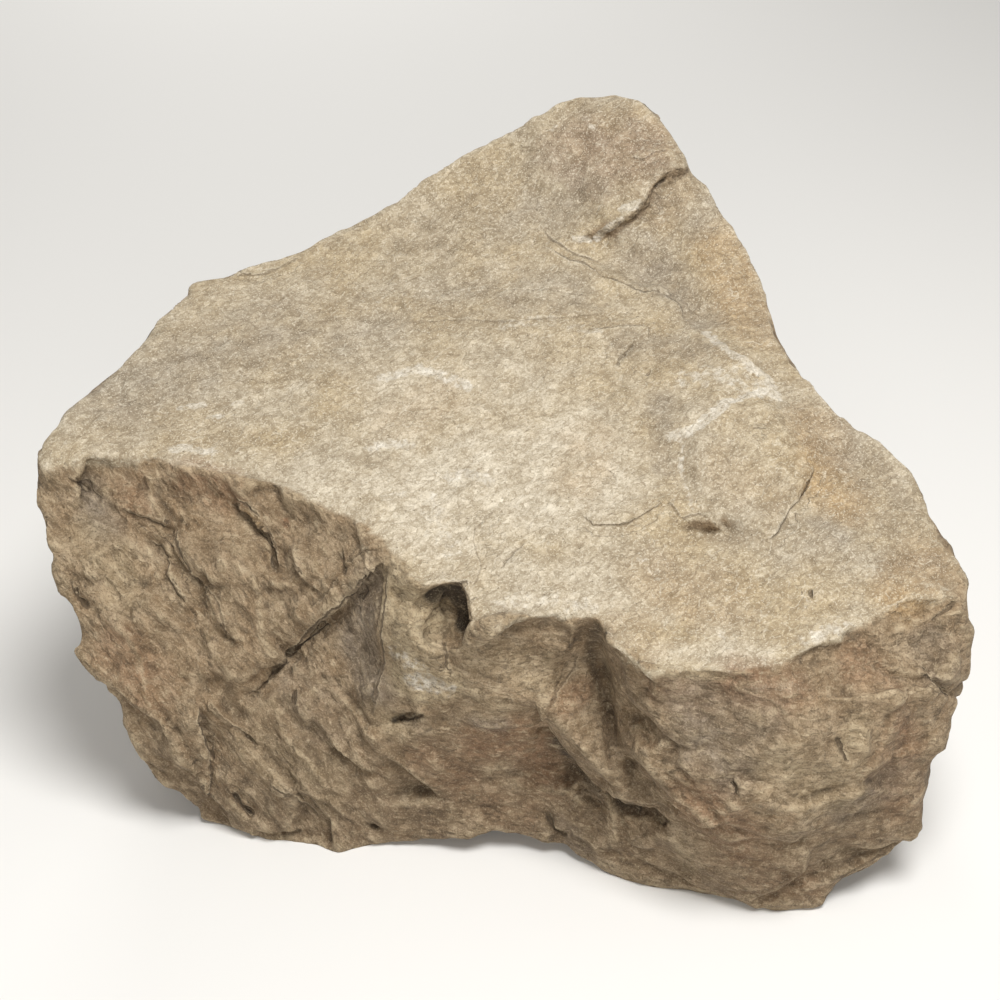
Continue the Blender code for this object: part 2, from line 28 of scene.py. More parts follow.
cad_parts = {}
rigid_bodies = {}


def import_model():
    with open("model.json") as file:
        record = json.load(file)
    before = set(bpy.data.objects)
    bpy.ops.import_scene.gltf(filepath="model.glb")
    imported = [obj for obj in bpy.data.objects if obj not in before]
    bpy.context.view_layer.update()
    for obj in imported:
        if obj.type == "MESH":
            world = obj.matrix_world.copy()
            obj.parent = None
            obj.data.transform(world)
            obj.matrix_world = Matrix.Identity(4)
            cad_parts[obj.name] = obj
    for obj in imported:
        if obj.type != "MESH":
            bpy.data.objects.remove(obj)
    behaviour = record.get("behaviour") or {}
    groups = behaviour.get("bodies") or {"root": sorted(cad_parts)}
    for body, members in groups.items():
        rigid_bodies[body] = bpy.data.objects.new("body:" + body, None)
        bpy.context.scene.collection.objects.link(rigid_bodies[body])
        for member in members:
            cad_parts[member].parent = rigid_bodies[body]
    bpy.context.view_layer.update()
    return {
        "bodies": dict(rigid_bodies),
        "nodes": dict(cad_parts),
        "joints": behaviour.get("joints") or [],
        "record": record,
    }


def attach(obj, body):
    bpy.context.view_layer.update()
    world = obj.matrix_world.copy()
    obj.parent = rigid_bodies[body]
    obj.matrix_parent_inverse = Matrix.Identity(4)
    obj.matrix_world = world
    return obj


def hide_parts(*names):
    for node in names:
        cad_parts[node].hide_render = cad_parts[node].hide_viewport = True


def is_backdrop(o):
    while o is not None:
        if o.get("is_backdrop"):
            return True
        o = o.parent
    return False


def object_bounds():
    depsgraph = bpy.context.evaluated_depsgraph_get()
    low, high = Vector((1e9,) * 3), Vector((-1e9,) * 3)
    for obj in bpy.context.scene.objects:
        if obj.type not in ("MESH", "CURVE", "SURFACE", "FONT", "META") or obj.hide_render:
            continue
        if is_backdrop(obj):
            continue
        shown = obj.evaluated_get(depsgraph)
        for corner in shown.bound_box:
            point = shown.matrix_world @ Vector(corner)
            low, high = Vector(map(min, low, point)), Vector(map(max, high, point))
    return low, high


log = logging.getLogger("boulder")

Place = tuple[float, ...]
Path = tuple[Place, ...]

PICTURE = 1000.0  # the picture's width and height, in its own places
MM = 0.001
TINY = 1e-12
FACET_STEP = 0.6  # how far a point moves to its neighbours' planes in one round of faceting
SEED = 1  # of the noise that bends the flakes, which without a set one differs from run to run
SCATTER = np.array(((127.1, 269.5, 113.5), (311.7, 183.3, 271.9), (74.7, 246.1, 124.6)))


def linear(colour: str) -> tuple[float, float, float, float]:
    """Turns an sRGB hex colour to the linear colour that a shader takes.

    Args:
        colour: the colour as "#rrggbb".

    Returns:
        Red, green, blue and an alpha of 1.
    """
    shares = [int(colour[i : i + 2], 16) / 255.0 for i in (1, 3, 5)]
    red, green, blue = [s / 12.92 if s <= 0.04045 else ((s + 0.055) / 1.055) ** 2.4 for s in shares]
    return red, green, blue, 1.0


def smoothstep(low: float, high: float, values: np.ndarray) -> np.ndarray:
    """A smooth slope from 0 at low to 1 at high.

    Args:
        low: where the slope starts.
        high: where it ends.
        values: where it is asked for.

    Returns:
        The slope's height at each value.
    """
    share = np.clip((values - low) / (high - low), 0.0, 1.0)
    return share * share * (3.0 - 2.0 * share)


def scattered(cells: np.ndarray, draw: float) -> np.ndarray:
    """Three random numbers for each cell of an endless grid, the same ones every time.

    Args:
        cells: the cells' whole numbers, one row each.
        draw: which of their sets of numbers is meant.

    Returns:
        Numbers from 0 to 1, one row a cell.
    """
    waves = 43758.5453 * np.sin(cells @ SCATTER + draw)
    return waves - np.floor(waves)


def read(items: bpy.types.bpy_prop_collection, name: str, width: int, kind: type = np.float64) -> np.ndarray:
    """Reads one property of all of a mesh's items.

    Args:
        items: the mesh's vertices, edges or normals.
        name: the property.
        width: how many numbers it has.
        kind: the kind of its numbers.

    Returns:
        One row an item.
    """
    flat = np.empty(len(items) * width, kind)
    items.foreach_get(name, flat)
    return flat.reshape(-1, width)


def apply_modifier(stone: bpy.types.Object, kind: str, settings: dict[str, object]) -> None:
    """Gives the object's mesh one modifier's result, and takes the modifier away again.

    Args:
        stone: the object.
        kind: the modifier's type.
        settings: the modifier's properties by name.
    """
    modifier = stone.modifiers.new(kind.title(), kind)
    for name, value in settings.items():
        setattr(modifier, name, value)
    bpy.context.view_layer.update()
    graph = bpy.context.evaluated_depsgraph_get()
    made = bpy.data.meshes.new_from_object(stone.evaluated_get(graph))
    stone.modifiers.clear()
    old = stone.data
    stone.data = made
    bpy.data.meshes.remove(old)


def add_node(
    tree: bpy.types.NodeTree, kind: str, inputs: dict[str | int, object] | None = None, **settings: object
) -> bpy.types.Node:
    """Adds a node to a material.

    Args:
        tree: the material's node tree.
        kind: the node's type, without its leading "ShaderNode".
        inputs: what each input takes, by its name or number. A socket is linked, and a value is set.
        settings: the node's own properties.

    Returns:
        The node.
    """
    node = tree.nodes.new("ShaderNode" + kind)
    for name, value in settings.items():
        setattr(node, name, value)
    for name, value in (inputs or {}).items():
        if isinstance(value, bpy.types.NodeSocket):
            tree.links.new(value, node.inputs[name])
        else:
            node.inputs[name].default_value = value
    return node


@dataclass(frozen=True)
class Sight:
    """Where the camera stands, and the line from it through any place in its picture.

    Attributes:
        target: the place it looks at, in metres.
        distance: from the target to the camera, in metres.
        elevation: how steeply it looks down, in degrees.
        focal: its focal length, in millimetres.
        sensor: its sensor's width, in millimetres.
    """

    target: tuple[float, float, float] = (0.0010, 0.0162, 0.2750)
    distance: float = 2.31
    elevation: float = 33.0
    focal: float = 65.0
    sensor: float = 36.0

    def forward(self) -> Vector:
        """The way the camera looks."""
        angle = math.radians(self.elevation)
        return Vector((0.0, math.cos(angle), -math.sin(angle)))

    def eye(self) -> Vector:
        """Where the camera is."""
        return Vector(self.target) - self.forward() * self.distance

    def line(self, place: Place) -> Vector:
        """The direction from the camera through a place in its picture.

        Args:
            place: the place, as (right, down).

        Returns:
            The direction, of length 1.
        """
        forward = self.forward()
        right = Vector((1.0, 0.0, 0.0))
        up = right.cross(forward)
        scale = self.sensor / self.focal / PICTURE
        across, down = (c - PICTURE / 2.0 for c in place)
        return (forward + right * across * scale - up * down * scale).normalized()

    def picture(self, points: np.ndarray) -> np.ndarray:
        """Where points show in the camera's picture.

        Args:
            points: the points in metres, one row each.

        Returns:
            Their picture places, one row each.
        """
        forward = self.forward()
        right = Vector((1.0, 0.0, 0.0))
        away = points - np.array(self.eye())
        scale = PICTURE * self.focal / self.sensor / (away @ np.array(forward))
        across = away @ np.array(right) * scale
        down = -away @ np.array(right.cross(forward)) * scale
        return np.stack([across, down], axis=1) + PICTURE / 2.0

    def grain(self) -> float:
        """How many metres one step in the picture is, at the target."""
        return self.distance * self.sensor / self.focal / PICTURE

    def make_camera(self) -> bpy.types.Object:
        """Makes the scene's camera."""
        data = bpy.data.cameras.new("camera")
        data.lens = self.focal
        data.sensor_width = self.sensor
        camera = bpy.data.objects.new("camera", data)
        camera.location = self.eye()
        camera.rotation_euler = self.forward().to_track_quat("-Z", "Y").to_euler()
        bpy.context.scene.collection.objects.link(camera)
        bpy.context.scene.camera = camera
        return camera


@dataclass(frozen=True)
class Slab:
    """The tilted plane that the top of the stone keeps to.

    Attributes:
        height: above the ground, at y = 0.
        pitch: its rise towards the back, metres a metre.
        wing_start: left of this x it lifts a little more.
        wing_lift: metres a metre.
    """

    height: float = 0.455
    pitch: float = 0.30
    wing_start: float = -0.129
    wing_lift: float = 0.10

    def over(self, points: np.ndarray) -> np.ndarray:
        """How far each point lies below the slab."""
        wing = self.wing_lift * np.maximum(0.0, self.wing_start - points[:, 0])
        return self.height + self.pitch * points[:, 1] + wing - points[:, 2]


class Zone(Enum):
    """The parts of the stone that broke or weathered in their own way."""

    TOP = "top"
    LEFT = "left face"
    FRONT = "front face"
    REST = "back and ends"


class Skin:
    """A mesh's surface as arrays, and the means to find places on it.

    Attributes:
        points: where each vertex is.
        out: the way out of the stone at each.
        rise: how far each is to move along that way.
        zones: how far each belongs to each zone, from 0 to 1.
    """

    def __init__(self, stone: bpy.types.Object, sight: Sight) -> None:
        """Reads the surface.

        Args:
            stone: the object whose mesh is read.
            sight: the camera's stand, from which picture places are found.
        """
        mesh = stone.data
        self.sight = sight
        self.points = read(mesh.vertices, "co", 3)
        self.out = read(mesh.vertex_normals, "vector", 3)
        self.edges = read(mesh.edges, "vertices", 2, np.int32)
        self.valence = np.bincount(self.edges.ravel(), minlength=len(self.points)).astype(float)
        self.rise = np.zeros(len(self.points))
        self.zones: dict[Zone, np.ndarray] = {}
        bpy.context.view_layer.update()
        self.tree = BVHTree.FromObject(stone, bpy.context.evaluated_depsgraph_get())

    def softened(self, values: np.ndarray, passes: int) -> np.ndarray:
        """Evens values out over the surface.

        Args:
            values: a number or a place for each vertex.
            passes: how many times each takes half of its neighbours' mean.

        Returns:
            The evened values.
        """
        starts, ends = self.edges.T
        soft = values.reshape(len(values), -1)
        for _ in range(passes):
            soft = 0.5 * soft + 0.5 * self.gathered(soft[ends], soft[starts]) / self.valence[:, None]
        return soft.reshape(values.shape)

    def gathered(self, to_starts: np.ndarray, to_ends: np.ndarray) -> np.ndarray:
        """Adds up at each vertex what its edges give it.

        Args:
            to_starts: what each edge gives to its first vertex.
            to_ends: what it gives to its second.

        Returns:
            One row a vertex.
        """
        starts, ends = self.edges.T
        count = len(self.points)
        sums = [
            np.bincount(starts, first, count) + np.bincount(ends, second, count)
            for first, second in zip(to_starts.T, to_ends.T)
        ]
        return np.array(sums).T

    def faceted(self, alike: float, passes: int) -> np.ndarray:
        """Where the points lie once nearly flat parts are flat, and the edges between them crisp.

        Args:
            alike: how far two ways out may differ and still count as one flat part.
            passes: how far the flat parts grow.

        Returns:
            The places, one row each.
        """
        starts, ends = self.edges.T
        out = self.out.copy()
        for _ in range(passes):
            unlike = ((out[starts] - out[ends]) ** 2).sum(axis=1)
            weight = np.exp(-unlike / alike**2)[:, None]
            out += self.gathered(weight * out[ends], weight * out[starts])
            out /= np.linalg.norm(out, axis=1)[:, None]
        points = self.points.copy()
        for _ in range(passes):
            away = points[ends] - points[starts]
            to_starts = out[ends] * (out[ends] * away).sum(axis=1)[:, None]
            to_ends = -out[starts] * (out[starts] * away).sum(axis=1)[:, None]
            points += FACET_STEP * self.gathered(to_starts, to_ends) / self.valence[:, None]
        return points

    def bulge(self, passes: int) -> np.ndarray:
        """How far each vertex stands proud of the evened surface: over 0 on a crest, under 0 in a dip.

        Args:
            passes: how far the surface is evened.

        Returns:
            The distance in metres.
        """
        return np.einsum("ij,ij->i", self.points - self.softened(self.points, passes), self.out)

    def found(self, place: Place) -> Vector | None:
        """The place on the surface that is meant.

        Args:
            place: a picture place of two numbers, or a place in metres of three.

        Returns:
            The place in metres, or None if the line through the picture place misses the stone.
        """
        if len(place) == 3:
            return self.tree.find_nearest(Vector(place))[0]
        return self.tree.ray_cast(self.sight.eye(), self.sight.line(place))[0]

    def laid(self, path: Path) -> list[np.ndarray]:
        """The places of a path on the surface, without those that miss it."""
        return [np.array(spot) for spot in map(self.found, path) if spot is not None]

    def distance(self, path: Path) -> np.ndarray:
        """How far each vertex is from a path on the surface.

        Args:
            path: the path's places, or one place alone.

        Returns:
            The distances in metres.
        """
        spots = self.laid(path)
        nearest = np.full(len(self.points), np.inf)
        for start, end in zip(spots, spots[1:] or spots):
            heading = end - start
            along = np.clip((self.points - start) @ heading / max(heading @ heading, TINY), 0.0, 1.0)
            away = self.points - start - along[:, None] * heading
            nearest = np.minimum(nearest, np.linalg.norm(away, axis=1))
        return nearest

    def moved(self) -> np.ndarray:
        """The points after the rise, none of them below the ground."""
        places = self.points + self.out * self.rise[:, None]
        places[:, 2] = np.maximum(places[:, 2], 0.0)
        return places

    def noise(self, frame: np.ndarray, which: np.ndarray, octaves: int, roughness: float) -> np.ndarray:
        """Noise between about -1 and 1 at some of the points.

        Args:
            frame: the matrix that turns metres to the noise's own lengths.
            which: the points' numbers.
            octaves: how many finer layers of noise are added up.
            roughness: how strong each finer layer is, as a share of the one before.

        Returns:
            The noise at each of those points.
        """
        falling = -math.log2(roughness)
        places = self.points[which] @ frame[:3, :3].T + frame[:3, 3]
        return np.array([noise.fractal(Vector(place), falling, 2.0, octaves) for place in places])

    def flakes(self, frame: np.ndarray, which: np.ndarray, lean: float, edge: float) -> np.ndarray:
        """Flat flakes between about -1 and 1 high, each tipped its own way.

        Args:
            frame: the matrix that turns metres to flakes.
            which: the points' numbers.
            lean: how much every flake rises along its own X, to its end.
            edge: the width of the step between two flakes, as a share of a flake.

        Returns:
            The height at each of those points.
        """
        places = self.points[which] @ frame[:3, :3].T + frame[:3, 3]
        places += 0.3 * np.array([noise.noise_vector(1.3 * Vector(place)) for place in places])
        base = np.floor(places)
        near, next_near = np.full((2, len(which)), np.inf)
        height, next_height = np.zeros((2, len(which)))
        for shift in itertools.product((-1.0, 0.0, 1.0), repeat=3):
            cell = base + shift
            away = places - cell - scattered(cell, 0.0)
            far = np.linalg.norm(away, axis=1)
            tip = 2.0 * scattered(cell, 1.7) - 1.0
            tall = (away * tip).sum(axis=1) + 0.35 * tip[:, 0] + lean * away[:, 0]
            first = far < near
            second = ~first & (far < next_near)
            next_near = np.where(first, near, np.where(second, far, next_near))
            next_height = np.where(first, height, np.where(second, tall, next_height))
            near, height = np.where(first, far, near), np.where(first, tall, height)
        share = 0.5 + 0.5 * smoothstep(0.0, edge, next_near - near)
        return share * height + (1.0 - share) * next_height


@dataclass(frozen=True)
class Along:
    """The surface's points near a path.

    Attributes:
        which: the points' numbers.
        distance: from each to the path.
        side: how far each lies to the left of the path, seen from outside the stone.
        share: how far along the path each lies, from 0 to 1.
    """

    which: np.ndarray
    distance: np.ndarray
    side: np.ndarray
    share: np.ndarray

    @classmethod
    def of(cls, skin: Skin, path: Path, reach: float) -> "Along":
        """Finds the points within reach of a path.

        Args:
            skin: the surface.
            path: the path's places.
            reach: how far from the path they are looked for.

        Returns:
            The points and how each lies to the path.
        """
        spots = skin.laid(path)
        low = np.min(spots, axis=0) - reach
        high = np.max(spots, axis=0) + reach
        which = np.flatnonzero(np.all((skin.points > low) & (skin.points < high), axis=1))
        points = skin.points[which]
        distance = np.full(len(which), np.inf)
        side = np.zeros(len(which))
        share = np.zeros(len(which))
        lengths = [np.linalg.norm(b - a) for a, b in zip(spots[:-1], spots[1:])]
        gone = 0.0
        for start, end, length in zip(spots[:-1], spots[1:], lengths):
            heading = (end - start) / length
            along = np.clip((points - start) @ heading, 0.0, length)
            away = points - (start + along[:, None] * heading)
            far = np.linalg.norm(away, axis=1)
            closer = far < distance
            distance[closer] = far[closer]
            side[closer] = np.einsum("ij,ij->i", np.cross(heading, away[closer]), skin.out[which[closer]])
            share[closer] = (gone + along[closer]) / sum(lengths)
            gone += length
        return cls(which, distance, side, share)

    def strayed(self, skin: Skin, ragged: float) -> np.ndarray:
        """How far each point lies to the left of a line that wanders from the path."""
        frame = np.array(Matrix.Scale(1.0 / (10 * MM), 4))
        return self.side + ragged * skin.noise(frame, self.which, 2, 0.6)

    def ends(self, taper: float) -> np.ndarray:
        """A weight that is 1 along the path and falls to 0 at its two ends."""
        if taper <= 0.0:
            return np.ones(len(self.share))
        return smoothstep(0.0, taper, self.share) * smoothstep(0.0, taper, 1.0 - self.share)


class Relief:
    """One mark in the stone's surface."""

    def carve(self, skin: Skin) -> None:
        """Adds the mark to the surface's rise."""
        raise NotImplementedError


@dataclass(frozen=True)
class Ledge(Relief):
    """A step: the stone left of the path stands proud. Along a path that runs right, that is above it.

    Attributes:
        path: where the step runs.
        height: of the step, in metres.
        reach: how far the raised side fades over.
        edge: half of the width that the step itself takes.
        ragged: how far the step wanders from the path.
        taper: the share of the path over which each end fades.
    """

    path: Path
    height: float = 4 * MM
    reach: float = 35 * MM
    edge: float = 2.2 * MM
    ragged: float = 2 * MM
    taper: float = 0.12

    def boldness(self) -> float:
        """How clearly a line shows along the step, from 0 to 1."""
        return min(1.0, abs(self.height) / (8 * MM))

    def carve(self, skin: Skin) -> None:
        """Raises the left side and sinks a narrow foot on the right."""
        near = Along.of(skin, self.path, self.reach)
        raised = smoothstep(-self.edge, self.edge, near.strayed(skin, self.ragged))
        fading = smoothstep(0.0, 1.0, 1.0 - near.distance / self.reach)
        foot = smoothstep(0.0, 1.0, 1.0 - near.distance / (0.35 * self.reach))
        step = 0.65 * raised * fading - 0.35 * (1.0 - raised) * foot
        skin.rise[near.which] += self.height * step * near.ends(self.taper)


@dataclass(frozen=True)
class Crack(Relief):
    """A sharp-bottomed crack.

    Attributes:
        path: where it runs.
        depth: in metres.
        half_width: from its bottom to its lip.
        ragged: how far it wanders from the path.
        taper: the share of the path over which each end fades.
    """

    path: Path
    depth: float = 4 * MM
    half_width: float = 4.5 * MM
    ragged: float = 1.5 * MM
    taper: float = 0.2

    def boldness(self) -> float:
        """How clearly a line shows along the crack, from 0 to 1."""
        return min(1.0, self.depth / (5 * MM))

    def carve(self, skin: Skin) -> None:
        """Sinks the crack."""
        near = Along.of(skin, self.path, 2.0 * self.half_width + self.ragged)
        away = np.maximum(np.abs(near.strayed(skin, self.ragged)), near.distance - self.ragged)
        wall = np.clip(1.0 - away / self.half_width, 0.0, 1.0)
        skin.rise[near.which] -= self.depth * wall * near.ends(self.taper)


@dataclass(frozen=True)
class Crest(Relief):
    """A narrow ridge.

    Attributes:
        path: where it runs.
        height: in metres.
        half_width: from its top to its foot.
        taper: the share of the path over which each end fades.
    """

    path: Path
    height: float = 2 * MM
    half_width: float = 9 * MM
    taper: float = 0.2

    def carve(self, skin: Skin) -> None:
        """Raises the ridge, highest at its middle and broken here and there."""
        near = Along.of(skin, self.path, self.half_width)
        frame = np.array(Matrix.Scale(1.0 / (16 * MM), 4))
        broken = 0.7 + 0.6 * skin.noise(frame, near.which, 2, 0.6)
        roof = np.clip(1.0 - near.distance / self.half_width, 0.0, 1.0)
        skin.rise[near.which] += self.height * roof * broken * near.ends(self.taper)


@dataclass(frozen=True)
class Hollow(Relief):
    """A round dip, or a lump where its depth is under 0.

    Attributes:
        middle: its middle.
        radius: in metres.
        depth: in metres.
    """

    middle: Place
    radius: float
    depth: float

    def carve(self, skin: Skin) -> None:
        """Sinks the dip."""
        for spot in skin.laid((self.middle,)):
            far = np.linalg.norm(skin.points - spot, axis=1)
            skin.rise -= self.depth * smoothstep(0.0, 1.0, 1.0 - far / self.radius)


@dataclass(frozen=True)
class Recess(Relief):
    """A sunken field with an outline of its own, on a side that the camera sees.

    Attributes:
        outline: the field's corners in the picture.
        depth: how deep its floor lies, in metres.
        wall: how wide its wall is.
        ragged: how far the wall wanders from the outline.
    """

    outline: Path
    depth: float
    wall: float = 6 * MM
    ragged: float = 2 * MM

    def carve(self, skin: Skin) -> None:
        """Sinks the field."""
        which, inside = self.inside(skin)
        frame = np.array(Matrix.Scale(1.0 / (11 * MM), 4))
        inside = inside + self.ragged * skin.noise(frame, which, 2, 0.6)
        skin.rise[which] -= self.depth * smoothstep(0.0, self.wall, inside)

    def inside(self, skin: Skin) -> tuple[np.ndarray, np.ndarray]:
        """How far inside the outline the points near it lie.

        Args:
            skin: the surface.

        Returns:
            The points' numbers, and how far each is inside. It is under 0 outside.
        """
        spots = skin.laid(self.outline)
        margin = 3.0 * self.wall + self.ragged
        low, high = np.min(spots, axis=0) - margin, np.max(spots, axis=0) + margin
        which = np.flatnonzero(np.all((skin.points > low) & (skin.points < high), axis=1))
        places = skin.sight.picture(skin.points[which])
        distance = np.full(len(which), np.inf)
        within = np.zeros(len(which), bool)
        corners = [np.array(corner, float) for corner in self.outline]
        for start, end in zip(corners, corners[1:] + corners[:1]):
            heading = end - start
            along = np.clip((places - start) @ heading / (heading @ heading), 0.0, 1.0)
            far = np.linalg.norm(places - start - along[:, None] * heading, axis=1)
            distance = np.minimum(distance, far)
            crosses = (start[1] > places[:, 1]) != (end[1] > places[:, 1])
            level = np.where(crosses, (places[:, 1] - start[1]) / (heading[1] or 1.0), 0.0)
            within ^= crosses & (places[:, 0] < start[0] + level * heading[0])
        return which, np.where(within, 1.0, -1.0) * distance * skin.sight.grain()


@dataclass(frozen=True)
class Chip(Relief):
    """A flat flake broken off a bump or an edge.

    Attributes:
        middle: the middle of the flake.
        radius: how far from there the break reaches.
        depth: how deep it cuts below the middle.
        lean: how the break is tipped away from the surface, as X, Y and Z of a vector added to it.
    """

    middle: Place
    radius: float
    depth: float
    lean: tuple[float, float, float] = (0.0, 0.0, 0.0)

    def carve(self, skin: Skin) -> None:
        """Takes what stands above the break's plane off."""
        for spot in skin.laid((self.middle,)):
            away = skin.points - spot
            far = np.linalg.norm(away, axis=1)
            near = np.flatnonzero(far < self.radius)
            face = skin.out[near].mean(axis=0) + np.array(self.lean)
            face /= np.linalg.norm(face)
            over = away[near] @ face + self.depth
            slant = np.maximum(skin.out[near] @ face, 0.3)
            fading = smoothstep(0.0, 0.3, 1.0 - far[near] / self.radius)
            skin.rise[near] -= np.maximum(over, 0.0) / slant * fading


class Form(Enum):
    """The forms of unevenness."""

    ROLLING = "rolling"
    SCALLOPED = "shell-like hollows with crests between"
    STEPPED = "thin layers, each ending in a step"
    FLAKED = "flat flakes, each tipped its own way"


@dataclass(frozen=True)
class Unevenness(Relief):
    """Unevenness that runs all over some zones.

    Attributes:
        zones: where it runs.
        form: its form.
        length: from one bump to the next, in metres.
        height: of the bumps.
        drawn: how many times longer the bumps are along their own X, Y and Z.
        turned: how those axes are turned about X, Y and Z, in degrees.
        octaves: how many finer layers it has.
        roughness: how strong each finer layer is.
        steps: how many steps lie in a stepped form's height.
        lean: how much flakes rise towards their ends, so that they lie like shingles.
        place: where in the endless pattern the stone lies, so that no two patterns match.
    """

    zones: tuple[Zone, ...]
    form: Form
    length: float
    height: float
    drawn: tuple[float, float, float] = (1.0, 1.0, 1.0)
    turned: tuple[float, float, float] = (0.0, 0.0, 0.0)
    octaves: int = 2
    roughness: float = 0.5
    steps: int = 4
    lean: float = 0.0
    place: float = 0.0

    def frame(self) -> np.ndarray:
        """The matrix from metres to bumps."""
        turn = Euler([math.radians(angle) for angle in self.turned]).to_matrix().to_4x4().inverted()
        drawn = Matrix.Diagonal([1.0 / (self.length * share) for share in self.drawn]).to_4x4()
        return np.array(Matrix.Translation((self.place, 2.0 * self.place, -self.place)) @ drawn @ turn)

    def carve(self, skin: Skin) -> None:
        """Adds the bumps where the zones are."""
        weight = sum(skin.zones[zone] for zone in self.zones)
        which = np.flatnonzero(weight > 0.01)
        if self.form is Form.FLAKED:
            waves = skin.flakes(self.frame(), which, self.lean, 5 * MM / self.length)
        else:
            waves = skin.noise(self.frame(), which, self.octaves, self.roughness)
        if self.form is Form.SCALLOPED:
            waves = 0.4 - 2.0 * np.abs(waves)
        if self.form is Form.STEPPED:
            stairs = waves * self.steps
            waves = (np.floor(stairs) + smoothstep(0.35, 0.55, stairs - np.floor(stairs))) / self.steps
        skin.rise[which] += self.height * waves * weight[which]


# The rim between the washed top and the broken faces below it.
RIM: Path = (
    (45, 467), (60, 466), (75, 468), (100, 468), (120, 466), (150, 461), (163, 460), (185, 466),
    (215, 470), (245, 476), (275, 484), (300, 495), (325, 508), (345, 517), (365, 525), (380, 535),
    (390, 552), (400, 560), (412, 575), (424, 586), (440, 582), (459, 582), (468, 600), (473, 622),
    (482, 618), (500, 613), (530, 616), (560, 620), (590, 617), (598, 616), (612, 638), (628, 663),
    (640, 669), (680, 671), (720, 671), (760, 669), (780, 664), (800, 655), (830, 645), (860, 628),
    (880, 615), (905, 603), (930, 606), (958, 600),
)

# The marks that stand out, in the camera's picture.
TOP_MARKS: dict[str, Relief] = {
    "peak step": Ledge(
        ((597, 237), (604, 234), (620, 222), (633, 219), (639, 210), (649, 206), (649, 196), (652, 189),
         (663, 179), (672, 171)), height=3 * MM, reach=30 * MM, ragged=1 * MM),
    "peak shadow notch": Crack(((651, 191), (657, 184), (667, 176)), depth=4 * MM, half_width=4.5 * MM),
    "peak ridge": Crest(((672, 172), (671, 156), (667, 147)), height=2.5 * MM),
    "peak flake": Ledge(((630, 158), (643, 160), (655, 152), (668, 150)), height=3 * MM, reach=25 * MM),
    "boss": Hollow((738, 440), 120 * MM, -11 * MM),
    "boss top": Recess(
        ((692, 512), (680, 470), (683, 441), (701, 411), (757, 393), (779, 403), (803, 432), (814, 464),
         (806, 488), (789, 511), (766, 541), (736, 538), (706, 530)),
        depth=-5.5 * MM, wall=28 * MM, ragged=2 * MM),
    "valley": Crack(((540, 226), (554, 241), (571, 252), (587, 258), (603, 264)),
                    depth=3 * MM, half_width=12 * MM),
    "slab lip": Ledge(
        ((685, 321), (683, 314), (680, 304), (672, 299), (658, 291), (644, 292), (623, 283), (601, 276),
         (587, 264), (564, 257), (540, 243)), height=5 * MM, reach=30 * MM, ragged=1 * MM),
    "second lip": Ledge(((650, 339), (649, 328), (640, 325), (612, 327), (586, 331)),
                        height=3 * MM, reach=18 * MM, ragged=1 * MM),
    "lip crack": Crack(((634, 342), (630, 349), (621, 357), (616, 367)), depth=3 * MM, half_width=3 * MM),
    "lip crack end": Crack(((651, 369), (650, 373), (646, 376)), depth=3 * MM),
    "bedding": Ledge(((400, 324), (450, 320), (505, 322), (560, 318), (620, 312)),
                     height=2 * MM, reach=22 * MM),
    "upper bedding": Ledge(((430, 296), (480, 288), (540, 290), (600, 298)), height=1.6 * MM, reach=18 * MM),
    "back step": Ledge(((232, 276), (262, 274), (285, 266), (300, 256)), height=4 * MM, reach=22 * MM),
    "boss flake": Ledge(
        ((582, 515), (593, 525), (614, 525), (626, 524), (639, 518), (650, 511), (662, 503), (666, 498)),
        height=4 * MM, reach=34 * MM, ragged=0.8 * MM, edge=1.8 * MM),
    "boss flake side": Crack(((666, 498), (677, 512), (680, 520)), depth=2 * MM),
    "boss front crack": Crack(((672, 523), (688, 517), (698, 514), (708, 518)),
                              depth=2.5 * MM, half_width=3 * MM, ragged=0.6 * MM),
    "boss right edge": Ledge(
        ((766, 542), (776, 535), (784, 521), (789, 511), (800, 499), (806, 488), (812, 475), (814, 464)),
        height=5 * MM, reach=34 * MM, ragged=0.8 * MM, edge=1.8 * MM),
    "boss hairline": Crack(((752, 429), (759, 428), (769, 429)), depth=2.5 * MM, half_width=3.5 * MM),
    "boss crest": Crest(((712, 341), (734, 358), (751, 364), (767, 379), (777, 401)), height=3 * MM),
    "boss shelf": Ledge(((759, 391), (748, 394), (737, 401), (718, 405), (700, 409)),
                        height=2 * MM, reach=20 * MM),
    "boss spur": Crest(((700, 409), (690, 424), (682, 440)), height=2 * MM, half_width=14 * MM),
    "boss valley": Hollow((668, 458), 46 * MM, 6 * MM),
    "slab flake": Ledge(((604, 469), (612, 473), (616, 481)), height=2 * MM, reach=14 * MM),
    "flake scar": Ledge(((468, 591), (477, 581), (481, 565), (473, 540), (476, 528), (500, 506)),
                        height=2.5 * MM, reach=26 * MM, ragged=1 * MM),
    "flake line": Crack(((526, 540), (513, 554), (499, 570)), depth=2 * MM, half_width=3.5 * MM),
    "pits": Crack(((811, 590), (812, 597)), depth=5 * MM, taper=0.0, ragged=0.3 * MM),
    "upper pit": Hollow((873, 551), 5 * MM, 5 * MM),
    "middle pit": Hollow((762, 579), 6 * MM, 5 * MM),
    "lower pit": Hollow((728, 582), 9 * MM, 3 * MM),
}

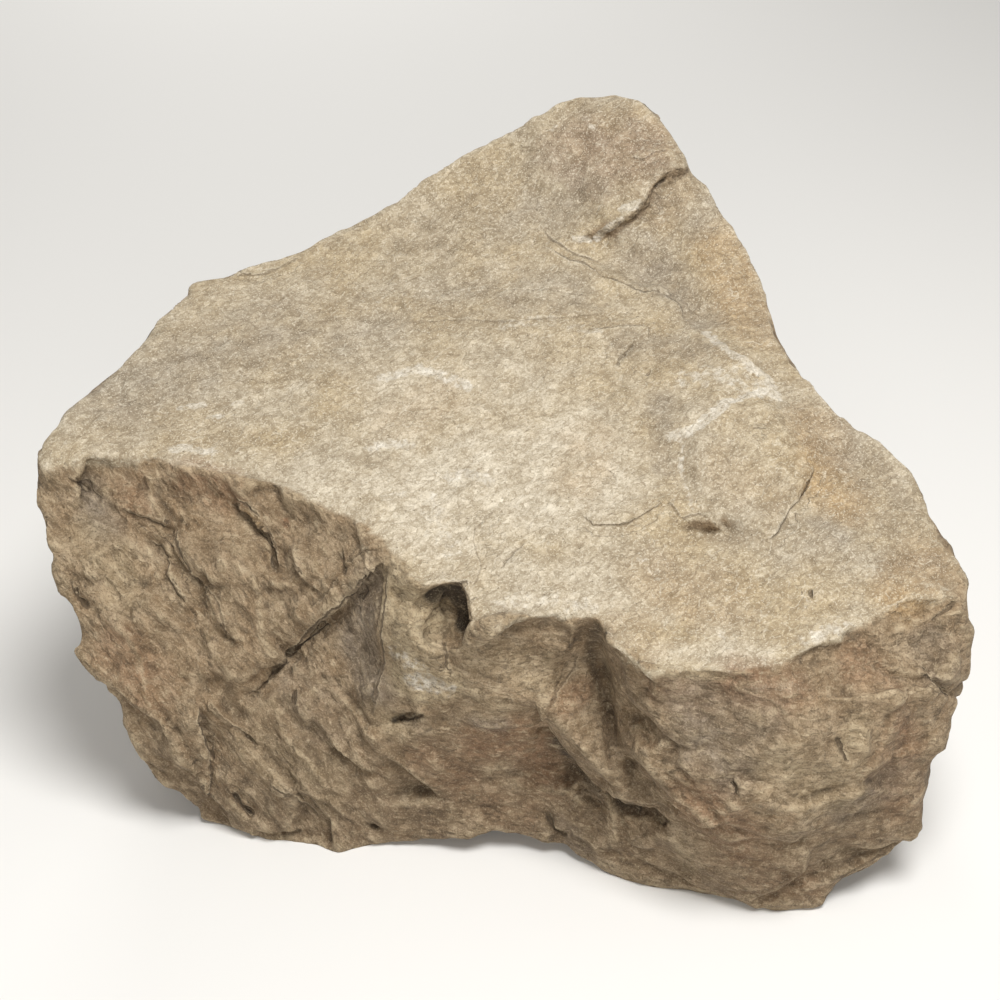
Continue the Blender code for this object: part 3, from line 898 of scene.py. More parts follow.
LEFT_MARKS: dict[str, Relief] = {
    "scar": Ledge(
        ((253, 693), (271, 671), (286, 653), (307, 631), (329, 609), (347, 594), (366, 576), (384, 561)),
        height=11 * MM, reach=22 * MM, ragged=1.5 * MM, taper=0.06),
    "scar line": Crack(((262, 683), (286, 655), (307, 633), (329, 612), (347, 597), (366, 579), (382, 564)),
                       depth=5.5 * MM, half_width=6 * MM),
    "bar top": Ledge(((382, 548), (362, 551), (345, 566), (330, 588), (308, 610)),
                     height=-4 * MM, reach=20 * MM),
    "channel": Ledge(((232, 494), (248, 506), (262, 519), (272, 534), (277, 551), (279, 578)),
                     height=11 * MM, reach=34 * MM, ragged=1.2 * MM),
    "channel crack": Crack(((262, 521), (272, 535), (276, 551), (278, 576)), depth=3 * MM, half_width=4 * MM),
    "second channel": Ledge(((288, 549), (295, 566), (306, 581), (319, 592)), height=7 * MM, reach=22 * MM),
    "second channel crack": Crack(((290, 553), (297, 569), (309, 584)), depth=3 * MM, half_width=4 * MM),
    "notched crack": Crack(((336, 550), (343, 561), (345, 577)), depth=4 * MM),
    "fine ridge": Crest(((362, 551), (347, 572), (326, 582), (307, 591)), height=2.5 * MM, half_width=6 * MM),
    "hooked step": Ledge(((148, 541), (160, 545), (168, 556), (167, 574), (178, 594), (187, 604)),
                         height=7 * MM, reach=24 * MM),
    "valley": Ledge(((172, 524), (178, 548), (188, 566), (203, 582), (216, 598), (222, 617), (231, 640)),
                    height=9 * MM, reach=32 * MM, ragged=1.2 * MM),
    "valley crack": Crack(((203, 583), (216, 599), (222, 618), (229, 637)), depth=3 * MM, half_width=4 * MM),
    "upper brow": Ledge(((120, 508), (134, 514), (150, 519), (168, 527)), height=7 * MM, reach=26 * MM),
    "end brow": Ledge(((66, 476), (80, 480), (92, 488), (104, 500)), height=6 * MM, reach=24 * MM),
    "edge crack": Crack(((71, 579), (78, 597), (92, 610)), depth=6 * MM, half_width=7 * MM),
    "edge crack foot": Crack(((78, 597), (76, 617)), depth=4 * MM),
    "low step": Ledge(((208, 800), (211, 770), (206, 741), (199, 722), (202, 702)),
                      height=10 * MM, reach=26 * MM),
    "low slant": Ledge(((202, 702), (222, 718), (242, 732), (262, 748)), height=5 * MM, reach=24 * MM),
    "foot crack": Crack(((232, 789), (241, 804), (256, 817)),
                        depth=9 * MM, half_width=6 * MM, ragged=0.5 * MM),
    "foot scallop": Ledge(((268, 782), (280, 792), (298, 799), (320, 818)), height=7 * MM, reach=24 * MM),
    "short step": Crack(((296, 688), (294, 708)), depth=4 * MM),
    "light lump": Hollow((228, 548), 46 * MM, -4 * MM),
    "low lump": Hollow((180, 745), 44 * MM, -5 * MM),
    "foot hole": Hollow((376, 823), 8 * MM, 8 * MM),
}

FRONT_MARKS: dict[str, Relief] = {
    "prow": Ledge(
        ((545, 716), (554, 733), (565, 747), (578, 766), (592, 782), (606, 793), (620, 799), (636, 804),
         (650, 806), (668, 802)), height=3 * MM, reach=26 * MM, ragged=0.6 * MM, taper=0.08),
    "pit lip": Crack(((424, 591), (440, 585), (459, 584), (467, 600), (471, 620), (465, 637)),
                     depth=4 * MM, half_width=3.5 * MM, ragged=0.4 * MM),
    "fork": Crack(((578, 649), (575, 668), (564, 682), (556, 693), (551, 706), (545, 715)),
                  depth=2.5 * MM, half_width=3 * MM),
    "lens": Crack(((391, 721), (401, 718), (417, 717), (425, 712)), depth=10 * MM, half_width=6 * MM),
    "lens brow": Ledge(((388, 722), (401, 715), (418, 713), (428, 709)), height=3 * MM, reach=14 * MM),
    "crack below the pit": Crack(((443, 640), (446, 655), (447, 668), (454, 675)),
                                 depth=3.5 * MM, half_width=3.2 * MM, taper=0.1, ragged=0.4 * MM),
    "foot of that crack": Crack(((432, 668), (447, 670)), depth=2 * MM, half_width=3 * MM),
    "small pit": Hollow((507, 702), 8 * MM, 5 * MM),
    "small pit brow": Ledge(((500, 694), (509, 697), (512, 705)), height=-3 * MM, reach=14 * MM),
    "corner edge": Ledge(((386, 566), (386, 600), (382, 645), (377, 690), (372, 716)),
                         height=7 * MM, reach=26 * MM),
    "bottom crack": Crack(((546, 812), (554, 827), (568, 840)), depth=6 * MM, half_width=6 * MM),
    "side step": Ledge(((638, 700), (649, 712), (662, 722)), height=3 * MM, reach=18 * MM),
    "bulge nick": Crack(((732, 779), (737, 787), (735, 795)), depth=6 * MM, taper=0.1),
    "bulge swell": Hollow((868, 760), 60 * MM, -5 * MM),
    "bulge dip": Hollow((845, 700), 55 * MM, 5 * MM),
    "bulge crease": Crack(((836, 735), (842, 752), (850, 765)), depth=5 * MM, half_width=12 * MM),
    "bulge foot swell": Hollow((690, 850), 40 * MM, -5 * MM),
    "bottom bevel": Ledge(((918, 838), (890, 852), (862, 866), (838, 880)), height=-5 * MM, reach=24 * MM),
    "corner crack": Crack(((916, 664), (928, 677), (940, 689), (952, 699)), depth=6 * MM, half_width=7 * MM),
    "corner step": Ledge(((952, 699), (940, 689), (928, 677), (916, 664)), height=5 * MM, reach=26 * MM),
    "rim nick": Crack(((930, 622), (945, 611), (958, 600)), depth=4 * MM, half_width=5 * MM),
}

# The marks on the sides that the camera doesn't see, in metres.
FAR_MARKS: dict[str, Relief] = {
    "back step": Ledge(
        ((-0.390, 0.195, 0.250), (-0.260, 0.305, 0.270), (-0.100, 0.375, 0.300), (0.050, 0.435, 0.290),
         (0.170, 0.435, 0.310)), height=9 * MM, reach=40 * MM, ragged=5 * MM),
    "upper back step": Ledge(
        ((-0.300, 0.270, 0.400), (-0.150, 0.340, 0.430), (0.000, 0.420, 0.470), (0.120, 0.440, 0.500)),
        height=6 * MM, reach=34 * MM, ragged=5 * MM),
    "low back step": Ledge(
        ((-0.330, 0.240, 0.130), (-0.180, 0.320, 0.120), (0.000, 0.400, 0.160), (0.140, 0.420, 0.150)),
        height=7 * MM, reach=30 * MM, ragged=5 * MM),
    "back crack": Crack(
        ((-0.060, 0.390, 0.460), (-0.070, 0.390, 0.360), (-0.040, 0.400, 0.260), (-0.060, 0.380, 0.150)),
        depth=8 * MM, half_width=7 * MM, ragged=6 * MM),
    "right side step": Ledge(
        ((0.300, 0.316, 0.300), (0.400, 0.146, 0.270), (0.470, 0.016, 0.240), (0.520, -0.124, 0.210)),
        height=8 * MM, reach=34 * MM, ragged=5 * MM),
    "upper right step": Ledge(
        ((0.300, 0.250, 0.430), (0.380, 0.120, 0.390), (0.450, 0.000, 0.370), (0.510, -0.140, 0.330)),
        height=6 * MM, reach=30 * MM, ragged=5 * MM),
    "right side crack": Crack(
        ((0.400, 0.110, 0.430), (0.420, 0.090, 0.330), (0.440, 0.060, 0.240), (0.430, 0.060, 0.120)),
        depth=8 * MM, half_width=7 * MM, ragged=6 * MM),
    "left side step": Ledge(
        ((-0.400, 0.150, 0.300), (-0.480, 0.060, 0.290), (-0.510, -0.040, 0.280), (-0.500, -0.160, 0.250)),
        height=8 * MM, reach=34 * MM, ragged=5 * MM),
    "left side crack": Crack(
        ((-0.500, -0.020, 0.400), (-0.500, -0.010, 0.300), (-0.460, 0.000, 0.180)),
        depth=7 * MM, half_width=7 * MM, ragged=6 * MM),
    "back chip": Chip((-0.230, 0.300, 0.350), 80 * MM, 10 * MM, (0.2, 0.0, 0.2)),
    "second back chip": Chip((0.080, 0.430, 0.380), 90 * MM, 10 * MM, (-0.2, 0.0, -0.2)),
    "right chip": Chip((0.470, 0.000, 0.300), 80 * MM, 10 * MM, (0.0, -0.2, 0.2)),
    "low right chip": Chip((0.490, -0.180, 0.120), 70 * MM, 8 * MM, (0.0, 0.2, -0.2)),
    "left chip": Chip((-0.490, 0.040, 0.240), 80 * MM, 9 * MM, (0.0, 0.2, 0.2)),
}

ALL_OVER: dict[str, Relief] = {
    "weathered swells": Unevenness((Zone.TOP,), Form.ROLLING, 90 * MM, 3.0 * MM, octaves=2, place=3.1),
    "weathered crusts": Unevenness(
        (Zone.TOP,), Form.STEPPED, 75 * MM, 4.0 * MM, drawn=(1.8, 0.8, 1.0), turned=(0, 0, 40),
        octaves=4, roughness=0.55, steps=5, place=7.7),
    "weathered plates": Unevenness(
        (Zone.TOP,), Form.FLAKED, 60 * MM, 2.4 * MM, drawn=(1.6, 1.0, 1.5), turned=(0, 0, 40), place=4.4),
    "weathered flakes": Unevenness(
        (Zone.TOP,), Form.FLAKED, 22 * MM, 1.3 * MM, drawn=(1.8, 1.0, 1.5), turned=(0, 0, 40), place=1.3),
    "left face planes": Unevenness(
        (Zone.LEFT,), Form.FLAKED, 90 * MM, 14.0 * MM, drawn=(1.8, 1.2, 1.0), turned=(0, 52, 0), place=2.2),
    "left face shards": Unevenness(
        (Zone.LEFT,), Form.FLAKED, 42 * MM, 11.0 * MM, drawn=(2.2, 1.3, 1.0), turned=(0, 54, 0),
        lean=0.3, place=4.9),
    "left face chips": Unevenness(
        (Zone.LEFT,), Form.FLAKED, 18 * MM, 3.6 * MM, drawn=(2.2, 1.4, 1.0), turned=(0, 46, 0),
        lean=0.3, place=9.3),
    "front planes": Unevenness(
        (Zone.FRONT,), Form.FLAKED, 100 * MM, 12.0 * MM, drawn=(1.5, 1.2, 0.9), turned=(0, 10, 0), place=2.7),
    "front layers": Unevenness(
        (Zone.FRONT,), Form.FLAKED, 48 * MM, 4.5 * MM, drawn=(1.8, 1.3, 0.9), turned=(0, 8, 0),
        lean=0.1, place=5.3),
    "front chips": Unevenness(
        (Zone.FRONT,), Form.FLAKED, 20 * MM, 1.8 * MM, drawn=(1.8, 1.4, 0.9), turned=(0, 14, 0), place=8.1),
    "far scallops": Unevenness(
        (Zone.REST,), Form.SCALLOPED, 110 * MM, 7.0 * MM, drawn=(1.3, 1.3, 0.8), octaves=3,
        roughness=0.5, place=6.1),
    "far planes": Unevenness(
        (Zone.REST,), Form.FLAKED, 95 * MM, 12.0 * MM, drawn=(1.4, 1.4, 0.8), place=0.9),
    "far shards": Unevenness(
        (Zone.REST,), Form.FLAKED, 46 * MM, 4.5 * MM, drawn=(1.7, 1.7, 0.9), lean=0.1, place=5.8),
    "far chips": Unevenness(
        (Zone.REST,), Form.FLAKED, 20 * MM, 1.6 * MM, drawn=(1.7, 1.7, 0.9), place=3.7),
}


def drawn_marks() -> list[Ledge | Crack]:
    """The marks on the sides that the camera sees along which a line shows."""
    marks = itertools.chain(TOP_MARKS.values(), LEFT_MARKS.values(), FRONT_MARKS.values())
    return [mark for mark in marks if isinstance(mark, (Ledge, Crack))]


class Stain(Enum):
    """What lies on the stone or colours it, named as the mesh's own layer for it. Its two darkest also stand
    for painted shade: in the gully, under the overhangs, in the cracks and in the pit's crevice.
    """

    CHALK = "chalk"
    OCHRE = "ochre"
    RUST = "rust"
    CRUST = "grey_crust"
    PALE = "pale"
    # Dark brown: earth at the foot, and painted shade in the gully and under the overhangs.
    SOIL_AND_PAINTED_SHADE = "soil_and_painted_shade"
    BLEACHED = "bleached"
    # Near black: painted shade in the pit's crevice and the deepest cracks, and dark clouds on the far sides.
    GRIME_AND_PAINTED_SHADE = "grime_and_painted_shade"


@dataclass(frozen=True)
class Patch:
    """A streak of a stain.

    Attributes:
        path: the places it runs through, or the one that it lies round.
        radius: how far it reaches, in metres.
        strength: how strong it is in the middle.
    """

    path: Path
    radius: float
    strength: float = 1.0


PATCHES: dict[Stain, tuple[Patch, ...]] = {
    Stain.CHALK: (
        Patch(((180, 408), (203, 405)), 9 * MM, 1.2),
        Patch(((208, 417), (221, 416)), 9 * MM, 1.2),
        Patch(((234, 405), (240, 402)), 9 * MM),
        Patch(((172, 449), (190, 448)), 10 * MM, 1.3),
        Patch(((200, 450), (214, 451)), 9 * MM, 1.2),
        Patch(((384, 378), (418, 368), (440, 376), (468, 386)), 15 * MM, 1.1),
        Patch(((370, 450), (392, 443), (410, 446)), 14 * MM),
        Patch(((380, 498), (402, 494)), 14 * MM, 0.8),
        Patch(((450, 478), (470, 472), (488, 480)), 16 * MM),
        Patch(((500, 326), (545, 320), (600, 332)), 18 * MM, 0.8),
        Patch(((380, 300), (430, 292), (480, 290)), 18 * MM, 0.7),
        Patch(((430, 500), (436, 530), (452, 552)), 30 * MM, 0.8),
        Patch(((500, 604), (545, 598), (590, 606)), 24 * MM, 0.8),
        Patch(((500, 385), (560, 370)), 26 * MM, 0.6),
        Patch(((706, 333), (728, 351), (752, 368), (769, 378), (777, 398)), 11 * MM, 1.3),
        Patch(((672, 436), (690, 432), (712, 415), (726, 402)), 13 * MM, 1.25),
        Patch(((722, 404), (746, 396), (768, 391)), 8 * MM, 1.3),
        Patch(((690, 378), (726, 374), (762, 390)), 38 * MM, 0.85),
        Patch(((683, 441), (680, 468), (692, 507)), 7 * MM),
        Patch(((640, 556), (660, 578)), 14 * MM, 0.8),
        Patch(((806, 640), (830, 630), (846, 628)), 15 * MM, 1.0),
        Patch(((716, 632), (726, 636)), 10 * MM),
        Patch(((574, 240), (590, 238)), 8 * MM, 1.2),
        Patch(((597, 238), (612, 226), (620, 220)), 9 * MM, 1.4),
        Patch(((622, 209), (640, 204)), 10 * MM, 1.3),
        Patch(((551, 130), (557, 124)), 8 * MM),
        Patch(((586, 120), (597, 132)), 12 * MM, 0.9),
        Patch(((824, 403), (836, 412)), 8 * MM),
        Patch(((396, 652), (420, 668)), 24 * MM, 0.85),
        Patch(((412, 680), (446, 688)), 20 * MM, 1.1),
    ),
    Stain.OCHRE: (
        Patch(((816, 430), (822, 470), (840, 500)), 50 * MM),
        Patch(((930, 560), (905, 590)), 50 * MM),
        Patch(((725, 250), (745, 300), (760, 330)), 55 * MM, 0.9),
        Patch(((660, 215), (680, 190)), 36 * MM, 0.6),
        Patch(((640, 120), (655, 140)), 44 * MM, 0.6),
        Patch(((625, 620), (640, 640)), 50 * MM, 0.5),
        Patch(((590, 440), (580, 480)), 50 * MM, 0.5),
        Patch(((440, 400), (400, 420)), 50 * MM, 0.4),
        Patch(((436, 612),), 34 * MM, 0.7),
        Patch(((660, 580), (720, 600)), 60 * MM, 0.6),
        Patch(((600, 140), (650, 170)), 60 * MM, 0.7),
        Patch(((720, 470), (765, 500)), 50 * MM, 0.4),
    ),
    Stain.RUST: (
        Patch(((480, 745), (520, 735), (550, 775)), 42 * MM),
        Patch(((430, 760), (460, 780)), 40 * MM, 0.7),
        Patch(((490, 800), (520, 810)), 40 * MM, 0.6),
        Patch(((580, 690), (565, 705)), 22 * MM, 0.7),
        Patch(((735, 680), (790, 690)), 36 * MM, 0.8),
        Patch(((860, 665), (885, 690)), 36 * MM, 0.8),
        Patch(((885, 740), (900, 800)), 50 * MM, 0.6),
        Patch(((690, 810), (720, 830)), 40 * MM, 0.7),
        Patch(((770, 880), (800, 890)), 50 * MM, 0.6),
        Patch(((190, 480), (225, 490)), 36 * MM, 0.8),
        Patch(((286, 522), (287, 524)), 6 * MM, 1.6),
        Patch(((120, 650), (150, 690)), 50 * MM, 0.6),
        Patch(((130, 490), (136, 505)), 30 * MM, 0.6),
        Patch(((560, 150), (600, 180)), 50 * MM, 0.5),
        Patch(((590, 150), (640, 150)), 70 * MM, 0.6),
        Patch(((700, 800), (745, 845)), 50 * MM, 0.8),
        Patch(((880, 700), (905, 745)), 34 * MM, 0.8),
        Patch(((655, 690), (700, 700)), 30 * MM, 0.5),
    ),
    Stain.CRUST: (
        Patch(((826, 527), (838, 540)), 26 * MM),
        Patch(((640, 230), (660, 280), (700, 320)), 50 * MM, 0.9),
        Patch(((590, 190), (560, 210)), 50 * MM, 0.8),
        Patch(((630, 340), (700, 350)), 40 * MM, 0.8),
        Patch(((120, 400), (200, 360), (280, 330)), 90 * MM, 0.75),
        Patch(((330, 330), (440, 300), (560, 290)), 70 * MM, 0.6),
        Patch(((430, 240), (540, 190), (600, 130)), 80 * MM, 0.6),
        Patch(((660, 400), (664, 470)), 22 * MM, 0.8),
        Patch(((400, 600), (404, 640)), 20 * MM, 0.5),
        Patch(((925, 640), (945, 655)), 30 * MM, 0.5),
        Patch(((700, 740), (750, 720)), 60 * MM, 0.6),
        Patch(((90, 490), (105, 530)), 30 * MM),
        Patch(((375, 590), (360, 640), (372, 690)), 40 * MM, 1.1),
        Patch(((480, 722), (500, 728)), 20 * MM),
        Patch(((566, 830), (590, 860)), 30 * MM, 0.8),
        Patch(((770, 520), (820, 540), (880, 560)), 60 * MM, 0.55),
        Patch(((830, 430), (870, 480), (920, 560)), 60 * MM, 0.7),
        Patch(((660, 560), (720, 590)), 50 * MM, 0.45),
        Patch(((600, 130), (640, 160), (680, 200)), 80 * MM, 0.8),
        Patch(((690, 700), (730, 770)), 44 * MM, 0.8),
        Patch(((850, 810), (885, 780)), 40 * MM, 0.7),
        Patch(((930, 640), (945, 670)), 36 * MM, 0.7),
        Patch(((320, 720), (300, 680)), 50 * MM, 0.5),
        Patch(((740, 260), (770, 330)), 60 * MM, 0.4),
        Patch(((700, 470), (760, 500)), 60 * MM, 0.35),
    ),
    Stain.PALE: (
        Patch(((420, 682), (445, 684)), 30 * MM, 1.2),
        Patch(((400, 590), (410, 640), (412, 680)), 44 * MM, 1.3),
        Patch(((380, 715), (396, 730)), 26 * MM, 0.7),
        Patch(((434, 616),), 34 * MM, 1.4),
        Patch(((660, 668), (708, 672), (720, 674)), 12 * MM, 0.9),
        Patch(((680, 850), (690, 866)), 20 * MM, 0.8),
        Patch(((470, 690), (500, 705)), 24 * MM, 0.5),
        Patch(((850, 760), (870, 720), (880, 700)), 40 * MM, 0.7),
        Patch(((86, 540), (110, 560), (120, 590)), 40 * MM, 0.6),
        Patch(((604, 650), (608, 670), (612, 692)), 8 * MM, 0.8),
        Patch(((790, 770), (830, 790)), 50 * MM, 0.7),
        Patch(((480, 655), (540, 672)), 40 * MM, 0.6),
        Patch(((262, 752), (320, 790)), 50 * MM, 0.5),
    ),
    # Earth along the bottom of the front, and painted shade: down the gully, under the prow, the boss's front,
    # the scar's bar, the rim and the low step.
    Stain.SOIL_AND_PAINTED_SHADE: (
        Patch(((597, 625), (590, 650), (600, 690), (611, 730), (616, 780)), 14 * MM, 0.6),
        Patch(((606, 632), (622, 662), (629, 692), (625, 740)), 11 * MM, 0.9),
        Patch(((552, 740), (568, 762), (588, 787), (620, 806), (655, 810)), 16 * MM, 1.0),
        Patch(((694, 528), (720, 536), (755, 537)), 16 * MM, 0.35),
        Patch(((360, 800), (400, 812), (450, 812)), 36 * MM, 0.9),
        Patch(((378, 572), (366, 600)), 18 * MM, 0.7),
        Patch(((100, 480), (150, 488), (240, 500), (330, 545)), 22 * MM, 0.35),
        Patch(((204, 720), (212, 790)), 18 * MM, 0.6),
    ),
    Stain.BLEACHED: (
        Patch(((450, 500), (500, 480), (560, 470)), 120 * MM, 1.4),
        Patch(((440, 560), (540, 590), (600, 600)), 60 * MM, 0.7),
        Patch(((300, 480), (400, 500)), 60 * MM, 0.7),
        Patch(((400, 400), (500, 400), (560, 420)), 90 * MM, 0.7),
        Patch(((660, 655), (700, 660), (760, 650)), 30 * MM, 0.7),
    ),
    # Painted shade, nearly black: the pit's crevice, the lens, under the prow, down the gully, the scar line,
    # the foot crack and the peak's notch.
    Stain.GRIME_AND_PAINTED_SHADE: (
        Patch(((434, 593), (446, 591), (456, 592), (462, 604), (464, 622)), 15 * MM, 1.9),
        Patch(((394, 720), (414, 717)), 5 * MM, 1.1),
        Patch(((556, 740), (568, 756), (582, 775), (594, 789), (620, 803), (640, 807)), 7 * MM, 1.0),
        Patch(((597, 624), (590, 645), (596, 674), (606, 706)), 9 * MM, 0.6),
        Patch(((312, 632), (330, 613), (345, 598)), 5 * MM, 0.8),
        Patch(((236, 795), (250, 812)), 4 * MM, 1.2),
        Patch(((656, 186), (664, 179)), 4 * MM, 1.0),
    ),
}


class Run(Enum):
    """Which way strokes and chips run: how they are turned about X, Y and Z, in degrees, and how many
    times longer they are along their own X, Y and Z.
    """

    BEDS = ((0.0, 8.0, 0.0), (1.9, 1.9, 1.0))
    DOWN_THE_SCARRED_FACE = ((0.0, 52.0, 0.0), (2.6, 1.3, 1.0))
    ACROSS_THE_SLAB = ((0.0, 0.0, 42.0), (1.5, 1.0, 1.0))


@dataclass(frozen=True)
class WeatheredLimestone:
    """Weathered limestone: quarried blocks of it turn pale and dusty where the rain washes them, and
    stay browner on their broken faces. Matt all over, with a sugary grain and thin chalky crusts.

    Attributes:
        washed, washed_warm, bleached: the rain-washed top, and its warmer and its palest patches.
        broken, broken_dark: the broken faces, and their darker patches.
        chalk, ochre, rust, crust, pale: what lies on the stone.
        soil_and_painted_shade: brown earth at the foot and in clouds on the far sides, and painted shade in
            the gully, under the prow, the rim and the boss, and beside the steps.
        grime_and_painted_shade: painted shade, nearly black, in the pit's crevice and along the deepest cracks
            and steps, and dark clouds on the far sides.
        dirt, dust: the dark grain, strokes and fine lines of the broken faces and of the washed top, and the
            first the pores too. The first is also painted shade: in the dips, and in the lines drawn along the
            cracks and steps.
        worn, fresh: the light grain and strokes of the washed top and of the broken faces, and their crests
            and edges, partly rubbed clean and partly painted highlight. Both are also a painted highlight
            along the lips of the drawn cracks and steps.
        roughness: of any dry unpolished stone.
        ior: calcite's, the mineral it is made of.
        grain: the grain's width, drawn twice as coarse as the real 1 mm so that it shows.
        splinter: from one splintery stroke to the next, across them.
        chip, flake: the width of the small and the large flat chips.
        seam: from one fine crooked line to the next.
        pore: from one pore to the next.
        crust_flake: the width of the flakes that the crusts break into.
        cloud: the width of the warm and cool clouds.
        flake_height, chip_height, stroke_height, grain_height: how high these stand, in millimetres.
        seam_depth, line_depth: how deep a fine line and a crack cut, in millimetres.
        line_waver, line_stray: from one bend of a crack to the next, and how far it strays there.
        line_width: the half-width of the narrowest crack.
        mottled, shaded: what the stone's colour is multiplied by in its dark clouds and on chips that
            tip away.
    """

    washed: str = "#c2b59e"
    washed_warm: str = "#bfad8d"
    bleached: str = "#ddd3c0"
    broken: str = "#b09c80"
    broken_dark: str = "#967e60"
    chalk: str = "#e6e0d4"
    ochre: str = "#b59668"
    rust: str = "#9b7354"
    crust: str = "#8c8276"
    pale: str = "#c6b595"
    soil_and_painted_shade: str = "#6b5740"
    grime_and_painted_shade: str = "#2f261b"
    dirt_and_painted_shade: str = "#51422f"
    dust: str = "#8d7d66"
    worn_and_painted_highlight: str = "#ddd2bc"
    fresh_and_painted_highlight: str = "#c2b092"
    roughness: float = 0.92
    ior: float = 1.57
    grain: float = 2.0 * MM
    splinter: float = 6.5 * MM
    chip: float = 5.0 * MM
    flake: float = 15.0 * MM
    seam: float = 11 * MM
    pore: float = 9 * MM
    crust_flake: float = 9 * MM
    cloud: float = 90 * MM
    flake_height: float = 4.2
    chip_height: float = 1.9
    stroke_height: float = 2.6
    grain_height: float = 0.9
    seam_depth: float = 0.4
    line_depth: float = 2.0
    line_waver: float = 4 * MM
    line_stray: float = 1.6 * MM
    line_width: float = 0.9 * MM
    mottled: str = "#dcd7cf"
    shaded: str = "#bdb6aa"

    def make(self) -> bpy.types.Material:
        """Builds the material."""
        material = bpy.data.materials.new("weathered limestone")
        material.use_nodes = True
        tree = material.node_tree
        tree.nodes.clear()
        place = add_node(tree, "TexCoord").outputs["Object"]
        colour = self.stone(tree, place)
        colour = self.stains(tree, place, colour)
        colour = self.painted_light_and_wear(tree, colour)
        colour, height = self.fine_grain(tree, place, colour)
        colour, height = self.lines(tree, place, colour, height)
        relief = add_node(tree, "Bump", {"Strength": 1.0, "Distance": MM, "Height": height})
        shader = add_node(
            tree,
            "BsdfPrincipled",
            {
                "Base Color": colour,
                "Roughness": self.roughness,
                "IOR": self.ior,
                "Normal": relief.outputs["Normal"],
            },
        )
        add_node(tree, "OutputMaterial", {"Surface": shader.outputs["BSDF"]})
        return material

    def layer(self, tree: bpy.types.NodeTree, name: str) -> bpy.types.NodeSocket:
        """One of the mesh's own layers, from 0 to 1."""
        return add_node(tree, "Attribute", attribute_name=name).outputs["Fac"]

    def speckle(
        self, tree: bpy.types.NodeTree, place: bpy.types.NodeSocket, width: float, detail: float = 3.0
    ) -> bpy.types.NodeSocket:
        """Cloudy specks of one width.

        Args:
            tree: the material's node tree.
            place: the place on the stone.
            width: the specks' width, in metres.
            detail: how many finer layers of specks they have.

        Returns:
            A number from 0 to 1, mostly near a half.
        """
        inputs = {"Vector": place, "Scale": 1.0 / width, "Detail": detail, "Roughness": 0.6}
        return add_node(tree, "TexNoise", inputs).outputs[0]

    def blended(
        self,
        tree: bpy.types.NodeTree,
        share: bpy.types.NodeSocket | float,
        below: bpy.types.NodeSocket | str,
        above: bpy.types.NodeSocket | str,
        way: str = "MIX",
    ) -> bpy.types.NodeSocket:
        """Lays one colour over another.

        Args:
            tree: the material's node tree.
            share: how much of the upper colour shows.
            below: the lower colour.
            above: the upper one.
            way: how they are put together.

        Returns:
            The colour.
        """
        colours = [linear(c) if isinstance(c, str) else c for c in (below, above)]
        inputs = {0: share, 6: colours[0], 7: colours[1]}
        return add_node(tree, "Mix", inputs, data_type="RGBA", blend_type=way).outputs[2]

    def cut(
        self,
        tree: bpy.types.NodeTree,
        value: bpy.types.NodeSocket,
        low: float,
        high: float,
        most: bpy.types.NodeSocket | float = 1.0,
    ) -> bpy.types.NodeSocket:
        """A value spread from 0, at low, to the most, at high."""
        inputs = {"Value": value, "From Min": low, "From Max": high, "To Max": most}
        return add_node(tree, "MapRange", inputs).outputs["Result"]

    def stone(self, tree: bpy.types.NodeTree, place: bpy.types.NodeSocket) -> bpy.types.NodeSocket:
        """The stone's own colour: washed on top and browner where it broke."""
        clouds = self.cut(tree, self.speckle(tree, place, self.cloud), 0.38, 0.62)
        small = self.cut(tree, self.speckle(tree, place, 0.3 * self.cloud, 5.0), 0.35, 0.65)
        washed = self.blended(tree, clouds, self.washed, self.washed_warm)
        broken = self.blended(tree, small, self.broken_dark, self.broken)
        return self.blended(tree, self.layer(tree, "washed"), broken, washed)

    def stains(
        self, tree: bpy.types.NodeTree, place: bpy.types.NodeSocket, colour: bpy.types.NodeSocket
    ) -> bpy.types.NodeSocket:
        """Lays the stains over the stone, each broken up in its own way. Two of them, the dark brown and the
        near-black, are also painted shade where they lie in the gully, under the overhangs, in the cracks and
        in the pit's crevice.
        """
        soft = self.speckle(tree, place, 0.35 * self.cloud, 5.0)
        flakes = self.speckle(tree, place, self.crust_flake, 5.0)
        finish = {
            Stain.BLEACHED: (self.bleached, soft, 0.8),
            Stain.OCHRE: (self.ochre, soft, 0.75),
            Stain.RUST: (self.rust, soft, 0.7),
            Stain.CRUST: (self.crust, soft, 0.6),
            Stain.PALE: (self.pale, soft, 0.8),
            # The dark brown and the near-black layers also paint shade into the gully, the overhangs, the
            # cracks and the pit.
            Stain.SOIL_AND_PAINTED_SHADE: (self.soil_and_painted_shade, soft, 0.75),
            Stain.GRIME_AND_PAINTED_SHADE: (self.grime_and_painted_shade, soft, 0.9),
            Stain.CHALK: (self.chalk, flakes, 0.85),
        }
        for stain, (tint, pattern, most) in finish.items():
            lies = add_node(
                tree, "Math", {0: self.layer(tree, stain.value), 1: pattern}, operation="MULTIPLY"
            ).outputs[0]
            low, high = (0.36, 0.56) if stain is Stain.CHALK else (0.08, 0.55)
            colour = self.blended(tree, self.cut(tree, lies, low, high, most), colour, tint)
        return colour

    def painted_light_and_wear(self, tree: bpy.types.NodeTree, colour: bpy.types.NodeSocket) -> bpy.types.NodeSocket:
        """Painted shade in the dips, and lighter crests, partly rubbed clean and partly painted highlight."""
        most = self.between(tree, self.layer(tree, "washed"), 0.70, 0.25)
        # Painted shade: the dips darkened as if shadowed, more on the broken faces.
        dirt_and_painted_shade = self.worked(tree, "MULTIPLY", self.layer(tree, "dip"), most)
